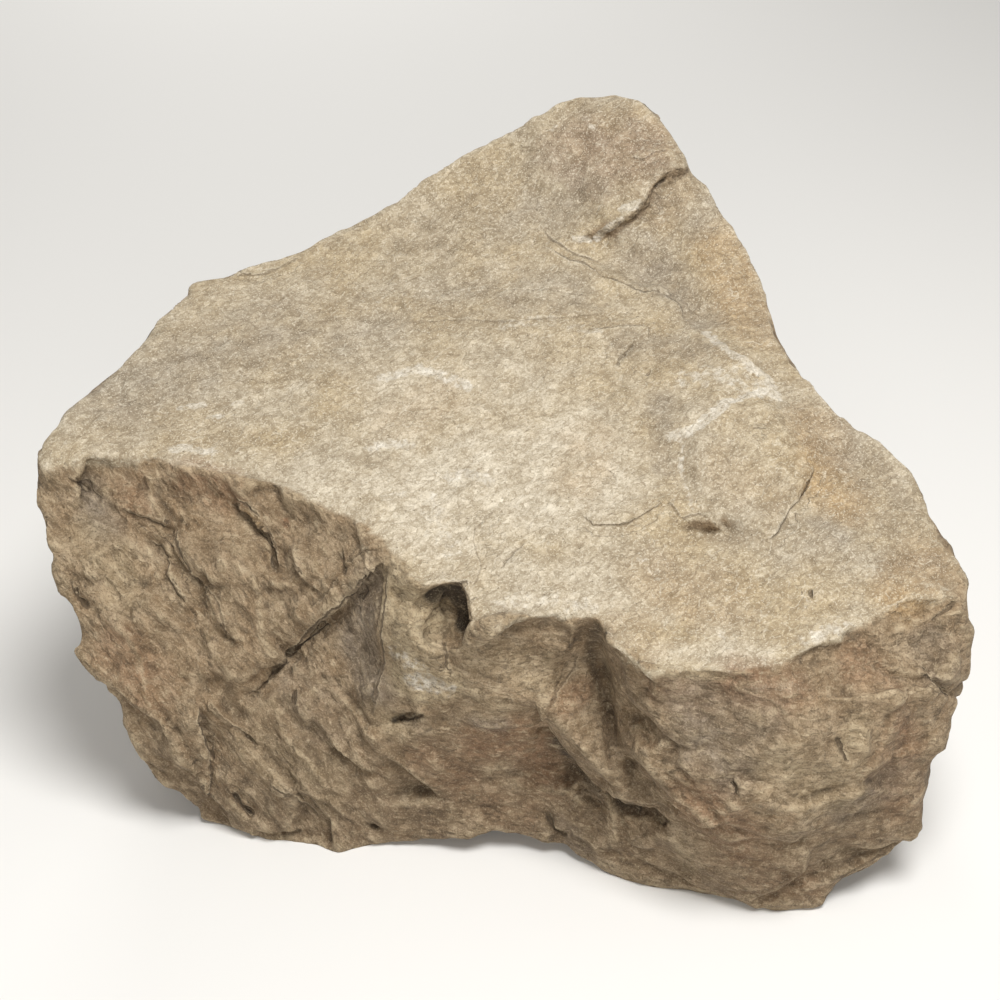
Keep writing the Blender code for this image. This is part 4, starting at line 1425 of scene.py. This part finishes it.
        # The crests lightened: partly rubbed clean, partly painted highlight.
        clean = self.between(tree, self.layer(tree, "washed"), 0.6, 0.45)
        worn_and_painted_highlight = self.worked(tree, "MULTIPLY", self.layer(tree, "crest"), clean)
        return self.blended(tree, worn_and_painted_highlight, self.blended(tree, dirt_and_painted_shade, colour, self.dirt_and_painted_shade), self.light(tree))

    def light(self, tree: bpy.types.NodeTree) -> bpy.types.NodeSocket:
        """The colour of clean grains and strokes, of the crests, partly rubbed clean and partly painted
        highlight, and of the painted highlight along the lips of the drawn lines.
        """
        return self.blended(tree, self.layer(tree, "washed"), self.fresh_and_painted_highlight, self.worn_and_painted_highlight)

    def dark(self, tree: bpy.types.NodeTree) -> bpy.types.NodeSocket:
        """The colour of dirty grains and strokes."""
        return self.blended(tree, self.layer(tree, "washed"), self.dirt_and_painted_shade, self.dust)

    def worked(
        self, tree: bpy.types.NodeTree, operation: str, *values: bpy.types.NodeSocket | float
    ) -> bpy.types.NodeSocket:
        """Works one number out from up to three others."""
        return add_node(tree, "Math", dict(enumerate(values)), operation=operation).outputs[0]

    def lines(
        self,
        tree: bpy.types.NodeTree,
        place: bpy.types.NodeSocket,
        colour: bpy.types.NodeSocket,
        height: bpy.types.NodeSocket,
    ) -> tuple[bpy.types.NodeSocket, bpy.types.NodeSocket]:
        """Draws the cracks and steps themselves, which are narrower than the mesh can show: each as a dark
        line of painted shade, sunk in the bump as well, with a painted highlight along its lip.

        Args:
            tree: the material's node tree.
            place: the place on the stone.
            colour: the stone's colour so far.
            height: the relief's height so far.

        Returns:
            The colour and the height with the lines.
        """
        bold = self.layer(tree, "line_boldness")
        stray = self.cut(tree, self.speckle(tree, place, self.line_waver, 2.0), 0.3, 0.7, self.line_stray)
        side = self.worked(tree, "SUBTRACT", self.layer(tree, "line_side"), 0.5 * self.line_stray)
        side = self.worked(tree, "ADD", side, stray)
        wide = self.cut(tree, self.speckle(tree, place, 14 * MM, 1.0), 0.35, 0.65, 1.5 * MM)
        wide = self.worked(tree, "MULTIPLY_ADD", wide, bold, self.line_width)
        away = self.worked(tree, "DIVIDE", self.worked(tree, "ABSOLUTE", side), wide)
        line = self.worked(tree, "MULTIPLY", self.cut(tree, away, 1.2, 0.5), bold)
        # The lip: a painted highlight along the proud side of the line.
        lip = self.cut(tree, side, 3.6 * MM, 1.6 * MM)
        lip = self.worked(tree, "MULTIPLY", lip, self.cut(tree, side, 0.6 * MM, 1.4 * MM))
        lip = self.worked(tree, "MULTIPLY", lip, self.cut(tree, bold, 0.0, 1.0, 0.5))
        colour = self.blended(tree, lip, colour, self.light(tree))
        # The line itself: painted shade.
        colour = self.blended(tree, self.worked(tree, "MULTIPLY", line, 0.8), colour, self.dirt_and_painted_shade)
        return colour, self.worked(tree, "MULTIPLY_ADD", line, -self.line_depth, height)

    def fine_grain(
        self, tree: bpy.types.NodeTree, place: bpy.types.NodeSocket, colour: bpy.types.NodeSocket
    ) -> tuple[bpy.types.NodeSocket, bpy.types.NodeSocket]:
        """The strokes, chips and grain that are too fine for the mesh.

        Args:
            tree: the material's node tree.
            place: the place on the stone.
            colour: the stone's colour so far.

        Returns:
            The grained colour, and the relief's height in millimetres.
        """
        washed, sides = self.layer(tree, "washed"), self.layer(tree, "scarred")
        runs = zip(*(self.broken_up(tree, place, run) for run in Run))
        strength = self.between(tree, washed, 0.55, 0.28)
        strokes, chips, flakes, seams = (
            self.between(tree, washed, self.between(tree, sides, bed, scar), top) for bed, scar, top in runs
        )
        light, dark = self.light(tree), self.dark(tree)
        mottle = self.cut(tree, self.speckle(tree, place, 24 * MM), 0.35, 0.65)
        clouded = self.blended(tree, mottle, self.mottled, "#ffffff")
        grained = self.blended(tree, 0.9, colour, clouded, "MULTIPLY")
        grained = self.blended(tree, self.cut(tree, strokes, 0.46, 0.30, strength), grained, dark)
        grained = self.blended(tree, self.cut(tree, strokes, 0.55, 0.70, strength), grained, light)
        facets = self.worked(tree, "MULTIPLY_ADD", flakes, 0.6, chips)
        shade = self.blended(tree, self.cut(tree, facets, -0.6, 0.6), self.shaded, "#ffffff")
        grained = self.blended(tree, 0.8, grained, shade, "MULTIPLY")
        patchy = self.cut(tree, self.speckle(tree, place, 22 * MM, 1.0), 0.48, 0.60)
        seams = self.worked(tree, "MULTIPLY", self.cut(tree, seams, 1.10, 1.35), patchy)
        seam_colour = self.blended(tree, washed, self.dirt_and_painted_shade, self.worn_and_painted_highlight)
        grained = self.blended(tree, self.worked(tree, "MULTIPLY", seams, 0.40), grained, seam_colour)
        fine = self.speckle(tree, place, self.grain, 2.0)
        grained = self.blended(tree, self.cut(tree, fine, 0.46, 0.28, 0.65), grained, dark)
        specks = self.between(tree, washed, 0.35, 0.60)
        grained = self.blended(tree, self.cut(tree, fine, 0.54, 0.70, specks), grained, light)
        cells = add_node(tree, "TexVoronoi", {"Vector": place, "Scale": 1.0 / self.pore}).outputs["Distance"]
        pores = self.cut(tree, cells, 0.10, 0.05, 0.6)
        grained = self.blended(tree, pores, grained, self.dirt_and_painted_shade)
        tall = self.between(tree, washed, 1.0, 0.35)
        height = self.worked(tree, "MULTIPLY", chips, self.chip_height)
        height = self.worked(tree, "MULTIPLY_ADD", flakes, self.flake_height, height)
        height = self.worked(tree, "MULTIPLY_ADD", strokes, self.stroke_height, height)
        height = self.worked(tree, "MULTIPLY", height, tall)
        height = self.worked(tree, "MULTIPLY_ADD", fine, self.grain_height, height)
        height = self.worked(tree, "MULTIPLY_ADD", seams, -self.seam_depth, height)
        return grained, self.worked(tree, "SUBTRACT", height, pores)

    def between(
        self,
        tree: bpy.types.NodeTree,
        share: bpy.types.NodeSocket,
        first: bpy.types.NodeSocket | float,
        second: bpy.types.NodeSocket | float,
    ) -> bpy.types.NodeSocket:
        """A number between two others: the first where the share is 0, the second where it is 1."""
        return add_node(tree, "Mix", {0: share, 2: first, 3: second}).outputs[0]

    def broken_up(
        self, tree: bpy.types.NodeTree, place: bpy.types.NodeSocket, run: Run
    ) -> tuple[bpy.types.NodeSocket, ...]:
        """What the stone breaks and weathers in: short strokes, flat chips and crooked lines.

        Args:
            tree: the material's node tree.
            place: the place on the stone.
            run: which way they run.

        Returns:
            The strokes, from 0 to 1 and mostly near a half, the small and the large chips' height, from
            -1 to 1, and the lines, over 1 on a line.
        """
        turned, drawn = run.value
        inputs = {"Vector": place, "Rotation": [math.radians(a) for a in turned], "Scale": drawn}
        laid = add_node(tree, "Mapping", inputs, vector_type="TEXTURE").outputs[0]
        inputs = {"Vector": laid, "Scale": 0.6 / self.splinter, "Detail": 2.0}
        winding = add_node(tree, "TexNoise", inputs).outputs["Color"]
        inputs = {0: winding, 1: (0.5, 0.5, 0.5)}
        winding = add_node(tree, "VectorMath", inputs, operation="SUBTRACT").outputs[0]
        inputs = {0: winding, 1: (self.splinter,) * 3, 2: laid}
        laid = add_node(tree, "VectorMath", inputs, operation="MULTIPLY_ADD").outputs[0]
        inputs = {"Vector": laid, "Scale": 1.0 / self.splinter, "Detail": 3.0, "Roughness": 0.6}
        strokes = add_node(tree, "TexNoise", inputs).outputs[0]
        chips, flakes = self.chipped(tree, laid, self.chip), self.chipped(tree, laid, self.flake)
        inputs = {"Vector": laid, "Scale": 1.0 / self.seam, "Detail": 1.0, "Offset": 1.0, "Gain": 1.0}
        seams = add_node(tree, "TexNoise", inputs, noise_type="RIDGED_MULTIFRACTAL").outputs[0]
        return strokes, chips, flakes, seams

    def chipped(
        self, tree: bpy.types.NodeTree, place: bpy.types.NodeSocket, width: float
    ) -> bpy.types.NodeSocket:
        """Flat chips of one width, each tipped its own way.

        Args:
            tree: the material's node tree.
            place: the place on the stone.
            width: the chips' width.

        Returns:
            Their height, from -1 to 1.
        """
        cells = add_node(tree, "TexVoronoi", {"Vector": place, "Scale": 1.0 / width})
        away = add_node(tree, "VectorMath", {0: place, 1: cells.outputs["Position"]}, operation="SUBTRACT")
        tip = add_node(
            tree, "VectorMath", {0: cells.outputs["Color"], 1: (0.5, 0.5, 0.5)}, operation="SUBTRACT"
        )
        slope = add_node(tree, "VectorMath", {0: away.outputs[0], 1: tip.outputs[0]}, operation="DOT_PRODUCT")
        return self.worked(tree, "MULTIPLY", slope.outputs["Value"], 2.0 / width)


def hull(places: list[Vector]) -> bpy.types.Object:
    """The smallest body without hollows that holds some places."""
    body = bmesh.new()
    for place in places:
        body.verts.new(place)
    made = bmesh.ops.convex_hull(body, input=body.verts[:])
    spare = [item for item in made["geom_interior"] if isinstance(item, bmesh.types.BMVert)]
    bmesh.ops.delete(body, geom=spare, context="VERTS")
    bmesh.ops.recalc_face_normals(body, faces=body.faces[:])
    mesh = bpy.data.meshes.new("cutter")
    body.to_mesh(mesh)
    body.free()
    cutter = bpy.data.objects.new("cutter", mesh)
    bpy.context.scene.collection.objects.link(cutter)
    return cutter


@dataclass(frozen=True)
class Shave:
    """A cut right through the stone, along the lines on which the camera sees it.

    Attributes:
        outline: the corners of what is cut away.
        start: how far from the camera the cut starts, in metres.
        end: how far from it the cut ends.
    """

    outline: Path
    start: float = 1.2
    end: float = 3.6

    def make(self, skin: Skin) -> bpy.types.Object:
        """Builds the body that is cut away."""
        sight = skin.sight
        reaches = (self.start, self.end)
        return hull([sight.eye() + sight.line(place) * away for place in self.outline for away in reaches])


@dataclass(frozen=True)
class Wedge:
    """A cut with flat walls that slope down to its deepest places.

    Attributes:
        outline: the corners of the cut in the stone's surface.
        bottoms: the picture places of its deepest places.
        depth: of those, in metres.
        lift: how far the body that cuts stands out of the stone.
    """

    outline: Path
    bottoms: Path
    depth: float
    lift: float = 60 * MM

    def make(self, skin: Skin) -> bpy.types.Object:
        """Builds the body that is cut away."""
        line = skin.sight.line
        lifts = (0.0, self.lift)
        lips = [skin.found(place) - line(place) * lift for place in self.outline for lift in lifts]
        return hull(lips + [skin.found(place) + line(place) * self.depth for place in self.bottoms])


@dataclass
class Boulder:
    """The stone itself.

    Attributes:
        solid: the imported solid, which is copied and left as it is.
        slab: the plane of its top.
        sight: the camera's stand.
        cell: the remeshed surface's edge, in metres.
        most_triangles: of the finished piece.
        settling: rounds of smoothing that take the solid's flat triangles away.
        fine_reach: how far from a crack or a step the mesh is made finer.
        alike: how far two ways out may differ within one flat part of the stone.
        facet_passes: how far such flat parts grow.
        sharpest: how far a point stays out beyond what lies round it; the weather wears the rest away.
        worn_share: how much of what stands out further one round takes away.
        worn_reaches: how wide each round looks.
        crisp_reaches: how wide each round looks that makes the settled edges crisp.
        crisp_from: how far an edge stands out, or a dip in, before it is made crisper.
        crisp_crest, crisp_dip: by how much of that.
        crisp_most: the most that a dip sinks and an edge rises in one round.
        cut_reach: up to the first distance from a cut nothing settles, and past the second all does.
        break_reach, edge_reach: the same for unevenness by the clean breaks and the clean edges.
        break_share: how much unevenness there is on a clean break.
        glancing: how squarely the camera must see a place for none, and for all, of its unevenness.
        glancing_share: how much unevenness there is where the camera sees the stone edge on.
        rain: how far up a place must look to be barely, and wholly, washed by the rain.
        rim_reach: how far from the rim the washed top's border keeps to it.
        finish: the material.
        wedges: the flat-walled cuts: three for the pit at the rim's corner, the notch in the rim, two
            under the prow below it, and the shoulder under the right end of the rim.
        shaves: what is shaved off the stone's right end.
        clean_breaks: where the stone broke without unevenness.
        clean_edges: the edges that unevenness leaves alone.
    """

    solid: bpy.types.Object
    sight: Sight
    cell: float = 3.6 * MM
    quick_cell: float = 6.0 * MM
    most_triangles: int = 196_000
    settling: int = 7
    fine_reach: float = 7 * MM
    alike: float = 0.25
    facet_passes: int = 9
    sharpest: float = 2.5 * MM
    worn_share: float = 0.9
    worn_reaches: tuple[int, ...] = (6, 3)
    crisp_reaches: tuple[int, ...] = (8, 8, 4)
    crisp_from: float = 0.35 * MM
    crisp_crest: float = 1.1
    crisp_dip: float = 0.6
    crisp_most: tuple[float, float] = (-1.5 * MM, 2.0 * MM)
    cut_reach: tuple[float, float] = (12 * MM, 26 * MM)
    break_reach: tuple[float, float] = (16 * MM, 40 * MM)
    edge_reach: tuple[float, float] = (6 * MM, 22 * MM)
    break_share: float = 0.15
    glancing: tuple[float, float] = (0.10, 0.45)
    glancing_share: float = 0.4
    rain: tuple[float, float] = (0.22, 0.40)
    rim_reach: float = 26 * MM
    slab: Slab = Slab()
    finish: WeatheredLimestone = field(default_factory=WeatheredLimestone)
    wedges: tuple[Wedge, ...] = (
        Wedge(((411, 600), (424, 588), (440, 583), (459, 582), (466, 597), (471, 618), (468, 632),
               (456, 643), (440, 645), (422, 640), (411, 622)),
              ((424, 604), (446, 600), (456, 616), (446, 632)), 9 * MM),
        Wedge(((424, 591), (440, 583), (460, 582), (468, 600), (452, 602), (434, 599)),
              ((438, 590), (460, 588)), 32 * MM),
        Wedge(((452, 588), (464, 588), (471, 618), (467, 637), (457, 637), (455, 610)),
              ((464, 598), (466, 624)), 32 * MM),
        Wedge(((598, 617), (584, 642), (590, 670), (600, 700), (609, 732), (615, 784), (619, 742), (620, 704),
               (617, 674), (608, 643)), ((600, 636), (604, 668), (611, 712)), 16 * MM),
        Wedge(((544, 712), (554, 731), (566, 744), (580, 763), (594, 781), (608, 792), (623, 799), (606, 812),
               (580, 800), (556, 772), (541, 738)), ((556, 748), (572, 771), (588, 791), (606, 803)), 14 * MM),
        Wedge(((612, 795), (640, 803), (674, 802), (670, 818), (640, 820), (614, 812)),
              ((628, 809), (655, 811)), 10 * MM),
        Wedge(((784, 663), (832, 644), (882, 614), (905, 602), (956, 600), (962, 640), (930, 686), (862, 694),
               (796, 694)), (), 0.0),
    )
    shaves: tuple[Shave, ...] = (
        Shave(((969, 600), (957, 706), (1020, 706), (1020, 600))),
    )
    clean_breaks: tuple[Path, ...] = (
        ((597, 625), (604, 680), (614, 770)),
        ((350, 620), (366, 590), (374, 650), (340, 670)),
    )
    clean_edges: tuple[Path, ...] = (
        ((545, 714), (566, 746), (594, 783), (623, 800), (670, 804)),
        ((413, 600), (440, 585), (460, 585), (470, 618), (456, 641)),
    )

    def build(self) -> bpy.types.Object:
        """Builds and dresses the stone."""
        stone = self.copied()
        self.cut(stone)
        cell = self.cell
        apply_modifier(stone, "REMESH", {"mode": "VOXEL", "voxel_size": cell})
        log.info("remeshed to %d vertices", len(stone.data.vertices))
        self.settle(stone)
        self.refine(stone)
        self.carve(stone)
        self.thin(stone)
        self.stain(stone)
        stone.data.name = stone.name
        stone.data.materials.clear()
        stone.data.materials.append(self.finish.make())
        stone.data.shade_smooth()
        return stone

    def copied(self) -> bpy.types.Object:
        """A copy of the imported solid, with its loose triangles joined."""
        shape = bmesh.new()
        shape.from_mesh(self.solid.data)
        bmesh.ops.remove_doubles(shape, verts=shape.verts[:], dist=0.01 * MM)
        mesh = bpy.data.meshes.new("weathered_boulder")
        shape.to_mesh(mesh)
        shape.free()
        stone = bpy.data.objects.new("weathered_boulder", mesh)
        bpy.context.scene.collection.objects.link(stone)
        return stone

    def cut(self, stone: bpy.types.Object) -> None:
        """Cuts the wedges and shaves out of the stone."""
        skin = Skin(stone, self.sight)
        for cut in (*self.wedges, *self.shaves):
            cutter = cut.make(skin)
            apply_modifier(stone, "BOOLEAN", {"object": cutter, "operation": "DIFFERENCE", "solver": "EXACT"})
            bpy.data.objects.remove(cutter)

    def settle(self, stone: bpy.types.Object) -> None:
        """Takes the flat triangles away, and makes the edges that this wore round crisp again."""
        skin = Skin(stone, self.sight)
        cut = np.min([skin.distance(wedge.outline) for wedge in self.wedges], axis=0)
        kept = smoothstep(self.cut_reach[1], self.cut_reach[0], cut)
        soft, softer = skin.softened(skin.points, 2), skin.softened(skin.points, self.settling)
        self.put(stone, softer + kept[:, None] * (soft - softer))
        for reach in self.crisp_reaches:
            skin = Skin(stone, self.sight)
            bulge = skin.bulge(reach)
            crisp = self.crisp_crest * np.maximum(bulge - self.crisp_from, 0.0)
            crisp = crisp + self.crisp_dip * np.minimum(bulge + self.crisp_from, 0.0)
            skin.rise = (1.0 - kept) * np.clip(crisp, *self.crisp_most)
            self.put(stone, skin.moved())
        self.put(stone, Skin(stone, self.sight).faceted(self.alike, self.facet_passes))

    def refine(self, stone: bpy.types.Object) -> None:
        """Halves the mesh's edges along the marks that need it."""
        skin = Skin(stone, self.sight)
        near = np.zeros(len(skin.points), bool)
        for mark in drawn_marks():
            near |= skin.distance(mark.path) < self.fine_reach
        shape = bmesh.new()
        shape.from_mesh(stone.data)
        shape.edges.ensure_lookup_table()
        edges = [shape.edges[i] for i in np.flatnonzero(near[skin.edges].all(axis=1))]
        bmesh.ops.subdivide_edges(shape, edges=edges, cuts=1, use_grid_fill=True)
        shape.to_mesh(stone.data)
        shape.free()
        log.info("halved %d edges along the marks", len(edges))

    def put(self, stone: bpy.types.Object, places: np.ndarray) -> None:
        """Moves the mesh's vertices to their places."""
        stone.data.vertices.foreach_set("co", places.astype(np.float32).ravel())
        stone.data.update()

    def zoned(self, skin: Skin) -> dict[Zone, np.ndarray]:
        """How far each point belongs to each zone, from 0 to 1."""
        out = skin.softened(skin.out, 12)
        faces_camera = smoothstep(0.15, 0.45, -out[:, 1])
        behind = smoothstep(0.0, 0.06, skin.points[:, 1])
        top = np.maximum(smoothstep(0.55, 0.80, out[:, 2]), behind * smoothstep(-0.2, 0.1, -out[:, 1]))
        left = smoothstep(-0.110, -0.150, skin.points[:, 0])
        return {
            Zone.TOP: top,
            Zone.LEFT: (1.0 - top) * faces_camera * left,
            Zone.FRONT: (1.0 - top) * faces_camera * (1.0 - left),
            Zone.REST: (1.0 - top) * (1.0 - faces_camera),
        }

    def washed(self, skin: Skin) -> np.ndarray:
        """How far each point faces the rain, from 0 to 1, with a ragged border."""
        everything = np.arange(len(skin.points))
        frame = np.array(Matrix.Scale(1.0 / (16 * MM), 4))
        ragged = skin.noise(frame, everything, 3, 0.65)
        level = smoothstep(*self.rain, skin.softened(skin.out, 4)[:, 2] + 0.12 * ragged)
        level *= smoothstep(16 * MM, 8 * MM, self.slab.over(skin.points) + 4 * MM * ragged)
        near = Along.of(skin, RIM, self.rim_reach)
        above = smoothstep(-2 * MM, 2 * MM, near.side + 3 * MM * ragged[near.which])
        nearness = smoothstep(self.rim_reach, 16 * MM, near.distance) * near.ends(0.02)
        level[near.which] += nearness * (above - level[near.which])
        return level

    def carve(self, stone: bpy.types.Object) -> None:
        """Carves every mark, and keeps the sole flat."""
        skin = Skin(stone, self.sight)
        clean = np.min([skin.distance(path) for path in self.clean_breaks], axis=0)
        edge = np.min([skin.distance(path) for path in self.clean_edges], axis=0)
        broken = np.minimum(smoothstep(*self.break_reach, clean), smoothstep(*self.edge_reach, edge))
        turned = np.abs(skin.softened(skin.out, 12) @ np.array(self.sight.forward()))
        broken = self.break_share + (1.0 - self.break_share) * broken
        facing = self.glancing_share + (1.0 - self.glancing_share) * smoothstep(*self.glancing, turned)
        skin.zones = {zone: share * (broken * facing) for zone, share in self.zoned(skin).items()}
        for marks in (TOP_MARKS, LEFT_MARKS, FRONT_MARKS, FAR_MARKS, ALL_OVER):
            for mark in marks.values():
                mark.carve(skin)
        skin.rise *= smoothstep(0.0, 12 * MM, skin.points[:, 2])
        self.put(stone, skin.moved())
        self.put(stone, Skin(stone, self.sight).faceted(0.5 * self.alike, 2))
        for reach in self.worn_reaches:
            skin = Skin(stone, self.sight)
            skin.rise = -self.worn_share * np.maximum(skin.bulge(reach) - self.sharpest, 0.0)
            self.put(stone, skin.moved())
        log.info("carved %d named marks", sum(map(len, (TOP_MARKS, LEFT_MARKS, FRONT_MARKS, FAR_MARKS))))

    def thin(self, stone: bpy.types.Object) -> None:
        """Merges triangles where the surface is plain, so that the piece stays within its number."""
        count = sum(len(face.vertices) - 2 for face in stone.data.polygons)
        if count > self.most_triangles:
            apply_modifier(stone, "DECIMATE", {"ratio": self.most_triangles / count})
        log.info("thinned from %d triangles to %d faces", count, len(stone.data.polygons))

    def lines(self, skin: Skin) -> tuple[np.ndarray, np.ndarray]:
        """Where the steps and cracks run, finer than the mesh could show them.

        Args:
            skin: the carved surface.

        Returns:
            How far each point lies to the left of the nearest one, and how boldly that one shows there.
        """
        reach = 2.0 * self.fine_reach
        nearest = np.full(len(skin.points), reach)
        side = np.full(len(skin.points), reach)
        bold = np.zeros(len(skin.points))
        for mark in drawn_marks():
            near = Along.of(skin, mark.path, reach)
            distance = near.distance - (self.fine_reach if isinstance(mark, Crack) else 0.0)
            closer = distance < nearest[near.which]
            which = near.which[closer]
            nearest[which] = distance[closer]
            side[which] = near.strayed(skin, mark.ragged)[closer]
            bold[which] = mark.boldness() * near.ends(max(mark.taper, 0.08))[closer]
        return side, bold

    def stain(self, stone: bpy.types.Object) -> None:
        """Writes the mesh's layers: where it is washed, dips or crests, and where each stain lies."""
        skin = Skin(stone, self.sight)
        zones = self.zoned(skin)
        sharp = skin.bulge(3)
        broad = skin.bulge(25)
        layers = {
            "washed": self.washed(skin),
            "scarred": zones[Zone.LEFT],
            # The dips, which the material darkens as painted shade, and the crests, which it lightens partly
            # as painted highlight.
            "dip": smoothstep(0.3 * MM, 2.6 * MM, -sharp - 0.12 * broad),
            "crest": smoothstep(0.2 * MM, 1.6 * MM, sharp + 0.1 * broad),
        }
        everything = np.arange(len(skin.points))
        for number, stain in enumerate(Stain):
            lies = np.zeros(len(skin.points))
            for patch in PATCHES[stain]:
                share = 1.25 - skin.distance(patch.path) / patch.radius
                lies = np.maximum(lies, patch.strength * smoothstep(0.0, 1.0, share))
            frame = np.array(Matrix.Translation((7.0 * number, 0.0, 0.0)) @ Matrix.Scale(1.0 / 0.16, 4))
            clouds = smoothstep(0.15, 0.6, skin.noise(frame, everything, 3, 0.5))
            layers[stain.value] = np.maximum(lies, 0.8 * clouds * zones[Zone.REST])
        layers[Stain.BLEACHED.value] *= layers["washed"]
        low = (1.0 - zones[Zone.TOP]) * smoothstep(0.30, 0.02, skin.points[:, 2])
        layers[Stain.SOIL_AND_PAINTED_SHADE.value] = np.maximum(layers[Stain.SOIL_AND_PAINTED_SHADE.value], 0.75 * low)
        layers["line_side"], layers["line_boldness"] = self.lines(skin)
        for name, values in layers.items():
            layer = stone.data.attributes.new(name, "FLOAT", "POINT")
            layer.data.foreach_set("value", values.astype(np.float32))


@dataclass(frozen=True)
class Studio:
    """A pale floor and soft lights.

    Attributes:
        floor_colour: of the floor.
        sky_colour: of the light from all round.
        sky_strength: how bright that light is.
        key_power: of the large lamp overhead, in watts.
        key_place: where the lamp hangs.
        fill_power: of the weaker lamp in front.
        fill_place: where it hangs.
        back_power: of the weak lamp behind.
        back_place: where it hangs.
        lamp_size: how wide each lamp is.
        aim: the place they shine at.
        floor_size: from the floor's middle to its edge, in metres, which fills every view.
        floor_roughness: of its matt paint.
    """

    floor_colour: str = "#e4e2de"
    sky_colour: str = "#f4f3f0"
    sky_strength: float = 0.36
    key_power: float = 121.0
    key_place: tuple[float, float, float] = (0.6, -1.2, 3.4)
    fill_power: float = 60.0
    fill_place: tuple[float, float, float] = (0.3, -4.8, 2.2)
    back_power: float = 60.0
    back_place: tuple[float, float, float] = (-0.8, 4.6, 2.4)
    lamp_size: float = 1.6
    aim: tuple[float, float, float] = (0.0, 0.0, 0.25)
    floor_size: float = 14.0
    floor_roughness: float = 0.9

    def build(self) -> None:
        """Builds the floor, the lights and the sky."""
        self.build_floor()
        self.build_lamp("key lamp", self.key_place, self.key_power)
        self.build_lamp("fill lamp", self.fill_place, self.fill_power)
        self.build_lamp("back lamp", self.back_place, self.back_power)
        world = bpy.data.worlds.new("studio")
        world.use_nodes = True
        sky = world.node_tree.nodes["Background"]
        sky.inputs["Color"].default_value = linear(self.sky_colour)
        sky.inputs["Strength"].default_value = self.sky_strength
        bpy.context.scene.world = world
        bpy.context.scene.view_settings.view_transform = "Standard"

    def build_floor(self) -> None:
        """Builds the floor, wide enough to fill every view."""
        plane = bmesh.new()
        bmesh.ops.create_grid(plane, x_segments=1, y_segments=1, size=self.floor_size)
        mesh = bpy.data.meshes.new("floor")
        plane.to_mesh(mesh)
        plane.free()
        floor = bpy.data.objects.new("floor", mesh)
        bpy.context.scene.collection.objects.link(floor)
        material = bpy.data.materials.new("matt painted studio floor")
        material.use_nodes = True
        shader = material.node_tree.nodes["Principled BSDF"]
        shader.inputs["Base Color"].default_value = linear(self.floor_colour)
        shader.inputs["Roughness"].default_value = self.floor_roughness
        mesh.materials.append(material)
        floor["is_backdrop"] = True

    def build_lamp(self, name: str, place: tuple[float, float, float], power: float) -> None:
        """Builds one wide lamp that shines at the stone."""
        data = bpy.data.lights.new(name, "AREA")
        data.shape = "DISK"
        data.size = self.lamp_size
        data.energy = power
        lamp = bpy.data.objects.new(name, data)
        lamp.location = place
        way = Vector(self.aim) - Vector(place)
        lamp.rotation_euler = way.to_track_quat("-Z", "Y").to_euler()
        bpy.context.scene.collection.objects.link(lamp)


def corners() -> list[list[float]]:
    """The shown object's lowest and highest corners, as plain numbers."""
    return [[float(c) for c in corner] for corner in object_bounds()]


def main() -> None:
    """Builds everything in order."""
    logging.basicConfig(level=logging.INFO, format="%(name)s: %(message)s")
    noise.seed_set(SEED)
    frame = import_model()
    sight = Sight()
    stone = Boulder(frame["nodes"]["boulder"], sight).build()
    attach(stone, "root")
    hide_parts("boulder")
    log.info("%s: %d faces", stone.name, len(stone.data.polygons))
    Studio().build()
    sight.make_camera()
    log.info("studio and camera built")


if __name__ == "__main__":
    main()
